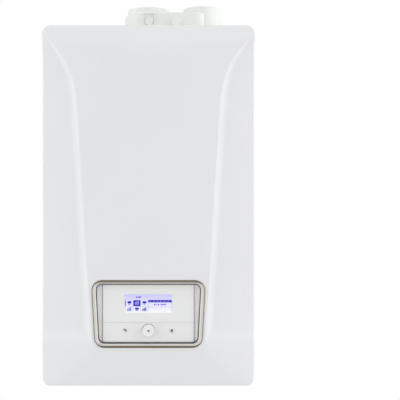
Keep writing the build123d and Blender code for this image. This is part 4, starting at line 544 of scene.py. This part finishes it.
def spread(start, *runs):
    """Stations from a start through runs of (end, count)."""
    values = [start]
    for end, count in runs:
        values += [values[-1] + (end - values[-1]) * (step + 1) / count for step in range(count)]
    return values


CORNER_STEPS = 14
middle = spread(
    CORNER_R, (80, 24), (98, 14), (FADE_END_H, 10), (FLARE_START_H, 70), (700, 40), (CASE_H - CORNER_R, 40)
)
ROWS = [CORNER_R * (1 - cos(radians(90 * step / CORNER_STEPS))) for step in range(CORNER_STEPS)]
ROWS += middle
ROWS += [CASE_H - value for value in reversed(ROWS[:CORNER_STEPS])]
PANEL_COLUMNS = 18
COVE_COLUMNS = 12
WING_COLUMNS = 12
RIM_COLUMNS = 6


def half_columns(height):
    """Distances from the centre line to the outline, close together at crease, cove and edge."""
    width = half_width(height)
    edge = width - EDGE_R
    crest = min(crease(height), edge - 2)
    foot = crest + min(COVE_W * fade(height), (edge - crest) / 2)
    values = spread(0, (crest - 3, PANEL_COLUMNS), (crest, 5))
    values += [crest + (foot - crest) * ((step + 1) / COVE_COLUMNS) ** 1.3 for step in range(COVE_COLUMNS)]
    values += [foot + (edge - foot) * (step + 1) / WING_COLUMNS for step in range(WING_COLUMNS)]
    values += [edge + EDGE_R * sin(radians(90 * (step + 1) / RIM_COLUMNS)) for step in range(RIM_COLUMNS)]
    return values


def cover_shell():
    """Closed block with the sculpted front, the straight side walls and a flat back."""
    builder = bmesh.new()
    grid = []
    for height in ROWS:
        half = half_columns(height)
        xs = [-value for value in reversed(half[1:])] + half
        grid.append([builder.verts.new(place(x, cover_depth(x, height), height)) for x in xs])
    for low, high in zip(grid, grid[1:]):
        for i in range(len(low) - 1):
            builder.faces.new((low[i], low[i + 1], high[i + 1], high[i]))
    rim = grid[0] + [row[-1] for row in grid[1:]] + grid[-1][-2::-1] + [row[0] for row in grid[-2:0:-1]]
    back = []
    for vertex in rim:
        back.append(builder.verts.new((vertex.co.x, -COVER_BACK_D * MM, vertex.co.z)))
    count = len(rim)
    for i in range(count):
        j = (i + 1) % count
        builder.faces.new((rim[j], rim[i], back[i], back[j]))
    builder.faces.new(list(reversed(back)))
    bmesh.ops.recalc_face_normals(builder, faces=builder.faces)
    return mesh_piece("cover_shell", builder, [FINISHES["cover_white"]], angle=60)


def case_loop(margin, steps=10):
    """Rounded casing outline shrunk by a margin."""
    points = []
    radius = CORNER_R - margin
    for quarter, (sx, sh) in enumerate(((1, 1), (-1, 1), (-1, -1), (1, -1))):
        for step in range(steps + 1):
            angle = radians(90 * (quarter + step / steps))
            centre_x = sx * (CASE_W / 2 - CORNER_R)
            centre_h = CASE_H / 2 + sh * (CASE_H / 2 - CORNER_R)
            points.append((centre_x + radius * cos(angle), centre_h + radius * sin(angle)))
    return points


def window_loop(margin, steps=12):
    """Rounded trapezoid of the control window, grown by a margin about its corner centres."""
    lean = (WINDOW_TOP_W - WINDOW_BOTTOM_W) / 2 / WINDOW_H
    tilt = atan2(lean, 1)
    half_h = WINDOW_H / 2 - WINDOW_R
    middle_w = (WINDOW_TOP_W + WINDOW_BOTTOM_W) / 4
    inset = WINDOW_R / cos(tilt)
    radius = WINDOW_R + margin
    points = []
    spans = (
        (1, 1, -tilt, pi / 2),
        (-1, 1, pi / 2, pi + tilt),
        (-1, -1, pi + tilt, 1.5 * pi),
        (1, -1, 1.5 * pi, 2 * pi - tilt),
    )
    for sx, sh, start, end in spans:
        centre_x = sx * (middle_w + sh * half_h * lean - inset)
        centre_h = WINDOW_CENTRE_H + sh * half_h
        for step in range(steps + 1):
            angle = start + (end - start) * step / steps
            points.append((centre_x + radius * cos(angle), centre_h + radius * sin(angle)))
    return points


# The pocket behind the crowned panel follows the creases between the facet and the flare
deep_right = [(crease(FACET_H) - POCKET_INSET, FACET_H + POCKET_INSET)]
deep_right += [(crease(height) - POCKET_INSET, height) for height in (FLARE_START_H, POCKET_TOP_H)]
deep_outline = deep_right + [(-x, height) for x, height in reversed(deep_right)]

cover = cover_shell()
boolean(cover, prism("pocket", case_loop(COVER_WALL), COVER_BACK_D - 5, POCKET_D))
boolean(cover, prism("deep_pocket", deep_outline, POCKET_D - 1, POCKET_DEEP_D))
boolean(cover, prism("window_rebate", window_loop(2 * TRIM_LIP), POCKET_D - 1, POCKET_DEEP_D))
boolean(cover, prism("window", window_loop(0), POCKET_D - 5, CASE_D + 20))
cover.name = "front_cover_moulding"
for polygon in cover.data.polygons:
    polygon.use_smooth = True
cover.data.set_sharp_from_angle(angle=radians(48))
attach(cover, "front_cover")

# Screw bosses behind the cover's lower edge
BOSS_X = 150
BOSS_W = 14
for side, label in ((-1, "left"), (1, "right")):
    near, far = side * BOSS_X - BOSS_W / 2, side * BOSS_X + BOSS_W / 2
    square = [(near, EDGE_R), (far, EDGE_R), (far, BOSS_W), (near, BOSS_W)]
    boss = prism(f"cover_boss_{label}", square, COVER_BACK_D, COVER_BACK_D + BOSS_W,
                 [FINISHES["cover_white"]])
    rounded(boss, 0.6, 2)
    attach(boss, "front_cover", replace=False)


# Trim ring

# Margin, depth, material and, on the level runs of the ring, the extra width of the bronze bead
TRIM_PROFILE = (
    (-0.1, TRIM_BACK_D, 0, 0),
    (-0.1, CASE_D + 0.4, 1, 0),
    (-0.3, CASE_D + 1.0, 1, 0),
    (-0.6, CASE_D + 1.4, 1, 0),
    (-0.9, CASE_D + 1.4, 1, -1.6),
    (-1.3, CASE_D + 1.0, 1, -2.3),
    (-1.5, CASE_D + 0.3, 0, -2.5),
    (-2.0, CASE_D + 0.3, 0, -2.3),
    (-3.6, CASE_D - 0.4, 0, -1.2),
    (-6.0, CASE_D - 1.4, 0, 0),
    (-8.0, CASE_D - 2.2, 0, 0),
    # The faces with material 2 are painted shade: a dark band where the inner lip falls in shadow
    (-8.4, CASE_D - 2.8, 2, 0),
    (-9.3, CASE_D - 3.6, 2, 0),
    (-9.3, TRIM_BACK_D, 0, 0),
)


def trim_ring():
    """Ring swept along the window's outline: bronze bead, satin band sloping inwards, inner lip painted dark
    as shade.
    """
    builder = bmesh.new()
    edge = window_loop(0, 16)
    unit = [(x1 - x0, h1 - h0) for (x0, h0), (x1, h1) in zip(window_loop(-1, 16), edge)]
    loops = []
    for margin, depth, _, extra in TRIM_PROFILE:
        loop = []
        for (x, height), (out_x, out_h) in zip(edge, unit):
            reach = margin + extra * out_h**4
            spot_x, spot_h = x + out_x * reach, height + out_h * reach
            sag = CASE_D - crown(spot_x) if depth > TRIM_BACK_D else 0
            loop.append(builder.verts.new(place(spot_x, depth - sag, spot_h)))
        loops.append(loop)
    count = len(loops[0])
    loops.append(loops[0])
    for k, (low, high) in enumerate(zip(loops, loops[1:])):
        for i in range(count):
            j = (i + 1) % count
            face = builder.faces.new((low[i], low[j], high[j], high[i]))
            face.material_index = TRIM_PROFILE[k][2]
    bmesh.ops.recalc_face_normals(builder, faces=builder.faces)
    return mesh_piece("trim_ring", builder, [FINISHES["trim_satin"], BRONZE, PAINTED_SHADE], angle=40)


attach(trim_ring(), "control_bezel")

# Display

SCREEN_LOW = SCREEN_CENTRE_H - SCREEN_H / 2
SCREEN_HIGH = SCREEN_CENTRE_H + SCREEN_H / 2
DISPLAY_D = FASCIA_D - 1.4
PAGE = glow("display_page", linear(250, 250, 254), linear(203, 201, 252), SCREEN_LOW, SCREEN_HIGH)
INK = glow("display_ink", linear(42, 24, 190))
INK_SOFT = glow("display_ink_soft", linear(104, 100, 222))
INK_PALE = glow("display_ink_pale", linear(158, 154, 240))
PAPER = glow("display_paper", linear(250, 250, 255), linear(222, 220, 253), SCREEN_LOW, SCREEN_LOW + 28)


def plate(name, low_x, high_x, low_h, high_h, depth, thick, material, round_to=0.0):
    """Flat rounded plate parallel to the wall."""
    radius = max(round_to, 0.05)
    left, right = low_x + radius, high_x - radius
    low, high = low_h + radius, high_h - radius
    points = []
    for quarter, (x, height) in enumerate(((right, high), (left, high), (left, low), (right, low))):
        for step in range(4):
            angle = radians(90 * (quarter + step / 3))
            points.append((x + radius * cos(angle), height + radius * sin(angle)))
    return prism(name, points, depth - thick, depth, [material])


def on_screen(name, low_x, high_x, low_h, high_h, layer, material, round_to=0.0):
    """Plate on the display, with its place measured in from the screen's lower left corner."""
    left = -SCREEN_W / 2
    piece = plate(name, left + low_x, left + high_x, SCREEN_LOW + low_h, SCREEN_LOW + high_h,
                  DISPLAY_D + 0.2 + 0.15 * layer, 0.1, material, round_to)
    return attach(piece, "display_module", replace=False)


# A generic page: six tiles with simple marks at the left, a card with a title and short bars at the right
on_screen("display_page", 0, SCREEN_W, 0, SCREEN_H, 0, PAGE)
TILE_LEFT = 2.6
TILE_LOW = 1.0
TILE_W = 15
TILE_H = 12.6
TILE_R = 1.2
TILE_PITCH_X = 15.9
TILE_PITCH_H = 13.4
BAR_W = 2.3
BAR_PITCH = 3.1
RULE_LEFT = 1.85
RULE_LOW = 1.6
RULE_W = 0.6
RULE_H = TILE_H - 1.2
for row in range(2):
    for column in range(3):
        low_x = TILE_LEFT + column * TILE_PITCH_X
        low_h = TILE_LOW + row * TILE_PITCH_H
        chosen = row == 1 and column == 1
        tile = INK if chosen else PAPER
        mark = INK_PALE if chosen else INK
        if row == 0 and column == 0:
            mark = INK_SOFT
        label = f"display_tile_{row}{column}"
        on_screen(label, low_x, low_x + TILE_W, low_h, low_h + TILE_H, 1, tile, TILE_R)
        mid_x = low_x + TILE_W / 2
        mid_h = low_h + TILE_H / 2 + 1
        if (row + column) % 2 == 0:
            for bar in range(3):
                x = mid_x - 4.4 + bar * BAR_PITCH
                on_screen(f"{label}_bar{bar}", x, x + BAR_W, mid_h - 3.2, mid_h + 1.2 + bar * 1.3, 2, mark)
            on_screen(f"{label}_base", mid_x - 4.6, mid_x + 4.6, mid_h - 4.4, mid_h - 3.6, 2, mark)
        else:
            on_screen(f"{label}_mark", mid_x - 4.2, mid_x + 4.2, mid_h - 1.4, mid_h + 3.2, 2, mark, 1.6)
            on_screen(f"{label}_foot", mid_x - 2.8, mid_x + 2.8, mid_h - 3.8, mid_h - 2.2, 2, mark, 0.4)
    for column in range(4):
        low_x = RULE_LEFT + column * TILE_PITCH_X
        low_h = RULE_LOW + row * TILE_PITCH_H
        on_screen(f"display_rule_{row}{column}", low_x, low_x + RULE_W, low_h, low_h + RULE_H, 2, INK_PALE)
on_screen("display_tile_rule", 2.2, 49, TILE_PITCH_H + 0.3, TILE_PITCH_H + 0.9, 2, INK_PALE)
on_screen("display_side_bar", 0.8, 2.6, 14.6, 26.4, 3, INK, 0.3)

CARD_LEFT = 49.6
CARD_RIGHT = 99.8
CARD_TOP = 21.8
on_screen("display_title", CARD_LEFT, CARD_RIGHT, CARD_TOP + 0.4, 27.4, 1, INK, 0.4)
for dash in range(6):
    low_x = 52 + dash * 7.6
    on_screen(f"display_title_dash{dash}", low_x, low_x + 4.2, 24.2, 25.2, 2, INK_PALE, 0.2)
on_screen("display_card", CARD_LEFT, CARD_RIGHT, TILE_LOW, CARD_TOP, 1, PAPER, 0.4)
for dash, (start, end) in enumerate(((62, 65), (66.4, 68), (70, 73), (76, 79), (80, 83), (84, 87))):
    on_screen(f"display_value{dash}", start, end, 16.2, 19.4, 2, INK_SOFT, 0.3)
on_screen("display_rule", 50.4, 98.6, 12.2, 12.7, 2, INK_PALE)
for side, line_x in (("left", CARD_LEFT + 0.3), ("right", CARD_RIGHT - 0.3)):
    on_screen(f"display_card_edge_{side}", line_x - 0.35, line_x + 0.35, 3, CARD_TOP, 2, INK_PALE)
on_screen("display_clock_a", 24.2, 26.6, 31.8, 35.0, 1, INK, 0.6)
on_screen("display_clock_b", 28.6, 34.2, 32.0, 34.8, 1, INK, 0.8)

# Knob and buttons

FIELD_D = FASCIA_D - 0.5
KNOB_R = 13.2
KNOB_BACK = FASCIA_D + 1.5
KNOB_FRONT = FIELD_D + 9
SHAFT_HOLE_R = 3.05
SHOULDER = 2.2
DISH_R = 9.0
DISH_EDGE = 0.5
DISH_DEEP = 0.35
knob_profile = [(SHAFT_HOLE_R, KNOB_BACK + 0.01), (KNOB_R - 0.8, KNOB_BACK), (KNOB_R - 0.2, KNOB_BACK + 0.25)]
knob_profile += [(KNOB_R, KNOB_BACK + 1), (KNOB_R, KNOB_FRONT - SHOULDER)]
for step in range(1, 6):
    turn = radians(90 * step / 5)
    knob_profile.append((KNOB_R - 1.6 * (1 - cos(turn)), KNOB_FRONT - SHOULDER + 1.9 * sin(turn)))
knob_profile += [(10.2, KNOB_FRONT), (9.6, KNOB_FRONT - 0.12), (DISH_R, KNOB_FRONT - DISH_EDGE)]
for share in (0.85, 0.65, 0.45, 0.25):
    knob_profile.append((DISH_R * share, KNOB_FRONT - DISH_EDGE - DISH_DEEP * (1 - share)))
knob_profile.append((0, KNOB_FRONT - 0.9))
knob = lathe("knob_cap", 0, CONTROLS_H, knob_profile, [FINISHES["knob_white"]], 96)
attach(knob, "control_knob")
DOT_R = 2.0
dot_profile = [(0, KNOB_FRONT - 1.1), (DOT_R, KNOB_FRONT - 1.1), (DOT_R, KNOB_FRONT - 0.72)]
dot_profile += [(DOT_R - 0.2, KNOB_FRONT - 0.6), (0, KNOB_FRONT - 0.6)]
dot = lathe("knob_dot", 0, CONTROLS_H, dot_profile, [SYMBOL], 32)
attach(dot, "control_knob", replace=False)

BUTTON_TOP = FIELD_D + 1.2
for node in ("back_button", "menu_button"):
    refine(node, 0.25, 3)


def arc_band(x, height, inner, outer, start, end, steps=24):
    """Outline of a flat band along an arc that thins out towards both ends."""
    points = []
    for reverse in (False, True):
        for step in range(steps + 1):
            share = 1 - step / steps if reverse else step / steps
            turn = radians(start + (end - start) * share)
            reach = inner if reverse else inner + (outer - inner) * (0.25 + 0.75 * sin(pi * share))
            points.append((x + reach * cos(turn), height + reach * sin(turn)))
    return points


# Painted shadow line on the upper side of the ring round the knob
SHADOW_ARC_INNER_R = 13.55
SHADOW_ARC_OUTER_R = 14.35
shadow_arc = arc_band(0, CONTROLS_H, SHADOW_ARC_INNER_R, SHADOW_ARC_OUTER_R, -12, 192, 40)
shade = prism("knob_ring_shadow_arc", shadow_arc, FASCIA_D - 0.3, FASCIA_D + 0.06, [RING_SHADOW])
attach(shade, "control_fascia", replace=False)

# Marks on the buttons: a hooked arrow on the left, a list on the right
MARK_BACK = BUTTON_TOP - 0.15
MARK_FRONT = BUTTON_TOP + 0.06
LIST_HALF_W = 2.4
LIST_BAR_H = 1.6
LIST_PITCH = 1.85
hook = arc_band(-BUTTON_X + 0.3, CONTROLS_H - 0.3, 0.7, 3.3, -80, 125, 16)
arrow = [(-BUTTON_X + dx, CONTROLS_H + dh) for dx, dh in ((-3.5, 1.6), (0.3, -0.9), (0.3, 3.9))]
for name, outline in (("return_mark", hook), ("return_mark_head", arrow)):
    attach(prism(name, outline, MARK_BACK, MARK_FRONT, [SYMBOL]), "back_button", replace=False)
for line in range(3):
    low_h = CONTROLS_H - 2.6 + line * LIST_PITCH
    bar = plate(f"menu_mark_{line}", BUTTON_X - LIST_HALF_W, BUTTON_X + LIST_HALF_W,
                low_h, low_h + LIST_BAR_H, MARK_FRONT, MARK_FRONT - MARK_BACK, SYMBOL)
    attach(bar, "menu_button", replace=False)


def flat_ring(name, outer, inner, back, front, material):
    """Flat band along the window's outline between two margins."""
    builder = bmesh.new()
    loops = []
    for margin, depth in ((outer, back), (outer, front), (inner, front), (inner, back)):
        loops.append([builder.verts.new(place(x, depth, height)) for x, height in window_loop(margin, 16)])
    loops.append(loops[0])
    count = len(loops[0])
    for low, high in zip(loops, loops[1:]):
        for i in range(count):
            j = (i + 1) % count
            builder.faces.new((low[i], low[j], high[j], high[i]))
    bmesh.ops.recalc_face_normals(builder, faces=builder.faces)
    return mesh_piece(name, builder, [material])


# Painted shade round the panel: a dark ring under the trim's inner edge and strips in the gap beside the
# fascia
attach(flat_ring("panel_shade_ring", -8.6, -10.2, 334.6, 336.4, PAINTED_SHADE), "control_surround", replace=False)
FASCIA_W = 192
FASCIA_H = 120.6
FASCIA_CENTRE_H = 153.9
FASCIA_LOW_H = FASCIA_CENTRE_H - FASCIA_H / 2
FASCIA_HIGH_H = FASCIA_CENTRE_H + FASCIA_H / 2
SHADE_STRIP_W = 0.9
SHADE_STRIP_GAP = 0.05
for side, label in ((-1, "left"), (1, "right")):
    near = side * (FASCIA_W / 2 + SHADE_STRIP_GAP)
    far = side * (FASCIA_W / 2 + SHADE_STRIP_GAP + SHADE_STRIP_W)
    strip = plate(f"fascia_shade_strip_{label}", min(near, far), max(near, far), FASCIA_LOW_H + 1, FASCIA_HIGH_H - 1,
                  FASCIA_D - 1.2, 2.5, PAINTED_SHADE)
    attach(strip, "control_surround", replace=False)

# Painted shadow line in the step between the fascia's upper and lower field
STEP_H = 135
STEP_SHADOW_W = 1.05
strip = plate("fascia_step_shadow", -FASCIA_W / 2 + 1, FASCIA_W / 2 - 1, STEP_H - SHADE_STRIP_GAP - STEP_SHADOW_W,
              STEP_H - SHADE_STRIP_GAP, FASCIA_D - 0.3, 0.3, STEP_SHADE)
attach(strip, "control_fascia", replace=False)

# The other pieces

# Rounding of each node's edges where it isn't the usual one
USUAL_ROUNDING = 0.35
ROUNDING = {
    "flue_adaptor": 1.0,
    "test_point_caps": 0.8,
    "control_surround": 0.4,
    "control_fascia": 0.4,
    "side_panel_left": 0.3,
    "side_panel_right": 0.3,
    "roof_panel": 0.3,
    "casing_gasket": 0.8,
    "control_box": 0.8,
    "control_box_lid": 0.8,
    "burner_door": 2.0,
    "gas_valve": 1.6,
    "fan_housing": 1.6,
    "fan_motor": 1.2,
    "pump_body": 2.0,
    "pump_motor": 1.4,
    "diverter_actuator": 1.2,
    "expansion_vessel": 3.0,
    "heat_exchanger": 1.2,
    "plate_heat_exchanger": 0.8,
}
# These nodes are made above, and the display window keeps its own mesh
SPECIAL = {"front_cover", "control_bezel", "control_knob", "back_button", "menu_button", "display_window"}
for node in sorted(frame["nodes"]):
    if node not in SPECIAL:
        refine(node, ROUNDING.get(node, USUAL_ROUNDING), 2)

# Test points: a raised floor round the cap in the recess, and the joint line round each cap
FLUE_FRONT_D = 204.5
RECESS_DEEP = 7
RECESS_TOP = CASE_H + 52
TEST_R = 11.5
PAD_SINK = 1.6
TEST_SPOTS = (("flue", 1.7, 35.5, FLUE_FRONT_D - PAD_SINK), ("air", 62.6, 31.7, FLUE_FRONT_D))
floor_x = TEST_SPOTS[0][1]
pad = plate("recess_floor", floor_x - TEST_R + 1.1, floor_x + TEST_R - 1.1, CASE_H + 3, RECESS_TOP - 0.1,
            FLUE_FRONT_D - PAD_SINK, RECESS_DEEP - PAD_SINK - 0.1, FINISHES["adaptor_white"])
attach(pad, "flue_adaptor", replace=False)
for label, spot_x, spot_h, depth in TEST_SPOTS:
    ring = lathe(f"cap_joint_{label}", spot_x, CASE_H + spot_h,
                 [(TEST_R - 0.6, depth - 0.2), (TEST_R - 0.6, depth + 0.08), (TEST_R + 0.1, depth + 0.08),
                  (TEST_R + 0.1, depth - 0.2)], [CAP_LINE], 64, hole=True)
    attach(ring, "flue_adaptor", replace=False)

# Threads on the connection nipples: the shank shrinks to the root radius and carries a rolled helix
PIPE_D = 140
PIPE_PITCH = 65
THREAD_LOW_H = -25
THREAD_TOP_H = 20
THREAD_PITCH = 1.81
THREAD_DEEP = 1.0
G34_R = 13.22
G12_R = 10.48
NIPPLES = (
    ("heating_flow_pipe", -2 * PIPE_PITCH, G34_R),
    ("hot_water_pipe", -PIPE_PITCH, G12_R),
    ("gas_pipe", 0, G34_R),
    ("cold_water_pipe", PIPE_PITCH, G12_R),
    ("heating_return_pipe", 2 * PIPE_PITCH, G34_R),
)


def thread(node, axis_x, radius, steps=36):
    """Rolled thread: a helix of triangular section on the thinned shank."""
    piece = bpy.data.objects[node + "_finished"]
    axis = place(axis_x, PIPE_D, 0)
    low_z, top_z = (BASE + THREAD_LOW_H - 0.5) * MM, (BASE + THREAD_TOP_H + 0.3) * MM
    root = (radius - THREAD_DEEP) * MM
    for vertex in piece.data.vertices:
        spot = piece.matrix_world @ vertex.co
        reach = Vector((spot.x - axis.x, spot.y - axis.y, 0))
        if low_z < spot.z < top_z and reach.length > root:
            moved = axis + reach.normalized() * root
            vertex.co = piece.matrix_world.inverted() @ Vector((moved.x, moved.y, spot.z))
    turns = (THREAD_TOP_H - THREAD_LOW_H - THREAD_PITCH) / THREAD_PITCH
    builder = bmesh.new()
    sections = []
    for step in range(int(turns * steps) + 1):
        turn = 2 * pi * step / steps
        height = THREAD_LOW_H + THREAD_PITCH / 2 + THREAD_PITCH * step / steps
        taper = min(1, step / steps, (turns * steps - step) / steps)
        crest = THREAD_DEEP * taper
        section = []
        for out_by, rise in ((-0.15, -0.8), (crest, -0.12), (crest, 0.12), (-0.15, 0.8)):
            reach = radius - THREAD_DEEP + out_by
            corner = place(axis_x + reach * cos(turn), PIPE_D + reach * sin(turn), height + rise)
            section.append(builder.verts.new(corner))
        sections.append(section)
    for low, high in zip(sections, sections[1:]):
        for i in range(4):
            j = (i + 1) % 4
            builder.faces.new((low[i], low[j], high[j], high[i]))
    builder.faces.new(sections[0])
    builder.faces.new(list(reversed(sections[-1])))
    bmesh.ops.recalc_face_normals(builder, faces=builder.faces)
    attach(mesh_piece(node + "_thread", builder, [FINISHES[SLOT_OF[node]]]), node, replace=False)


for node, axis_x, radius in NIPPLES:
    thread(node, axis_x, radius)

# Plate pack: the edges of the brazed plates between the two end plates
PLATES_LOW_H = 136
PLATES_H = 75
PLATES_BACK_D = 108
PLATES_DEEP = 60
PLATES_LEFT_X = -92
PLATES_RIGHT_X = 74
PLATE_COUNT = 17
PLATE_INSET = 1.2
PLATE_T = 1.4
PLATE_R = 10.5
END_PLATE = 4.2
plate_step = (PLATES_DEEP - 2 * END_PLATE - PLATE_T) / (PLATE_COUNT - 1)
for index in range(PLATE_COUNT):
    front = PLATES_BACK_D + END_PLATE + index * plate_step + PLATE_T
    edge = plate(f"brazed_plate_{index}", PLATES_LEFT_X + PLATE_INSET, PLATES_RIGHT_X - PLATE_INSET,
                 PLATES_LOW_H + PLATE_INSET, PLATES_LOW_H + PLATES_H - PLATE_INSET, front, PLATE_T,
                 FINISHES["plates_steel"], PLATE_R)
    attach(edge, "plate_heat_exchanger", replace=False)


# Fittings inside


def ring_rib(name, node, x, height, inner, outer, back, front):
    """Raised rib round a drum whose axis points out from the wall."""
    rib = lathe(name, x, height, [(inner, back), (outer, back + 0.3), (outer, front - 0.3), (inner, front)],
                [FINISHES[SLOT_OF[node]]], 64, hole=True)
    return attach(rib, node, replace=False)


def hex_nut(name, node, x, height, back, front, across):
    """Hexagon nut with its stud end."""
    points = []
    for corner_index in range(6):
        turn = radians(60 * corner_index)
        reach = across / 2 / cos(radians(30))
        points.append((x + reach * cos(turn), height + reach * sin(turn)))
    nut = prism(name, points, back, front, [FINISHES["screw_steel"]])
    rounded(nut, 0.5, 2)
    attach(nut, node, replace=False)
    profile = [(0, front - 1), (2.4, front - 1), (2.4, front + 1.4), (1.8, front + 2), (0, front + 2)]
    stud = lathe(name + "_stud", x, height, profile, [FINISHES["screw_steel"]], 24)
    attach(stud, node, replace=False)


DOOR_R = 112
DOOR_H = 520
DOOR_FRONT_D = 254
NUT_W = 8
NUT_T = 4
for lug in range(5):
    turn = radians(60 * lug)
    hex_nut(f"door_nut_{lug}", "burner_door", DOOR_R * cos(turn), DOOR_H + DOOR_R * sin(turn),
            DOOR_FRONT_D - 0.2, DOOR_FRONT_D + NUT_T, NUT_W)

# Motor, axis x and height, number of ribs, inner and outer radius, back of the first rib, pitch and thickness
PUMP_X = 130
PUMP_H = 150
RIBBED = (
    ("fan_motor", 98, 318, 5, 31, 33, 273, 5, 2.4),
    ("pump_motor", PUMP_X, PUMP_H, 6, 35, 37.4, 184, 5.5, 2.6),
)
for node, axis_x, axis_h, count, inner, outer, first, pitch, thick in RIBBED:
    for rib in range(count):
        back = first + pitch * rib
        ring_rib(f"{node}_rib_{rib}", node, axis_x, axis_h, inner, outer, back, back + thick)

# Turned fittings: name, node, slot, axis x and height, steps round, and the profile of (radius, depth) points
NIPPLE_PROFILE = ((0, 214.8), (4.2, 214.8), (4.2, 216.4), (2.8, 216.8), (2.8, 220), (2.2, 220.6), (0, 220.6))
TURNED = (
    ("pump_vent_plug", "pump_motor", "brass", PUMP_X, PUMP_H, 48,
     ((0, 221.8), (7, 221.8), (7, 223.4), (6.2, 224.2), (2.6, 224.2), (2.2, 223.4), (0, 223.4))),
    ("gas_valve_coil", "gas_valve", "motor_black", -6, 322, 64,
     ((0, 214.8), (14, 214.8), (14, 221.6), (12.6, 223.2), (4, 223.2), (3.6, 222.4), (0, 222.4))),
    ("gas_test_nipple_low", "gas_valve", "brass", 32, 302, 32, NIPPLE_PROFILE),
    ("gas_test_nipple_high", "gas_valve", "brass", 32, 336, 32, NIPPLE_PROFILE),
)
for name, node, slot, axis_x, axis_h, steps, profile in TURNED:
    fitting = lathe(name, axis_x, axis_h, profile, [FINISHES[slot]], steps)
    attach(fitting, node, replace=False)

# Control box lid: corner screws and two rows of vent slots, on the side that turns up when the box folds down
LID_BACK_D = 229.5
LID_MID_H = 161
LID_SCREW_X = 138
LID_SCREW_H = 77
VENT_LEFT_X = -88
VENT_LOW_H = LID_MID_H - 46
VENT_W = 4
VENT_H = 30
VENT_R = 1.9
VENT_PITCH_X = 20
VENT_PITCH_H = 62
head_profile = [(0, LID_BACK_D + 0.2), (4, LID_BACK_D + 0.2), (4, LID_BACK_D - 1.2), (3.2, LID_BACK_D - 2)]
head_profile += [(1.2, LID_BACK_D - 2), (1, LID_BACK_D - 1.4), (0, LID_BACK_D - 1.4)]
for sx, side in ((-1, "left"), (1, "right")):
    for sh, end in ((-1, "low"), (1, "high")):
        head = lathe(f"lid_screw_{side}_{end}", sx * LID_SCREW_X, LID_MID_H + sh * LID_SCREW_H, head_profile,
                     [FINISHES["screw_steel"]], 32)
        attach(head, "control_box_lid", replace=False)
# Each vent slot is a thin dark plate on the lid: painted shade standing for the slot's dark hollow
for row in range(2):
    for column in range(9):
        low_x = VENT_LEFT_X + column * VENT_PITCH_X
        low_h = VENT_LOW_H + row * VENT_PITCH_H
        slit = plate(f"lid_vent_shade_{row}{column}", low_x, low_x + VENT_W, low_h, low_h + VENT_H,
                     LID_BACK_D + 0.1, 0.25, PAINTED_SHADE, VENT_R)
        attach(slit, "control_box_lid", replace=False)

lens = frame["nodes"]["display_window"]
lens.data.materials.clear()
lens.data.materials.append(FINISHES["lens_clear"])

# Last update of the scene

bpy.context.view_layer.update()
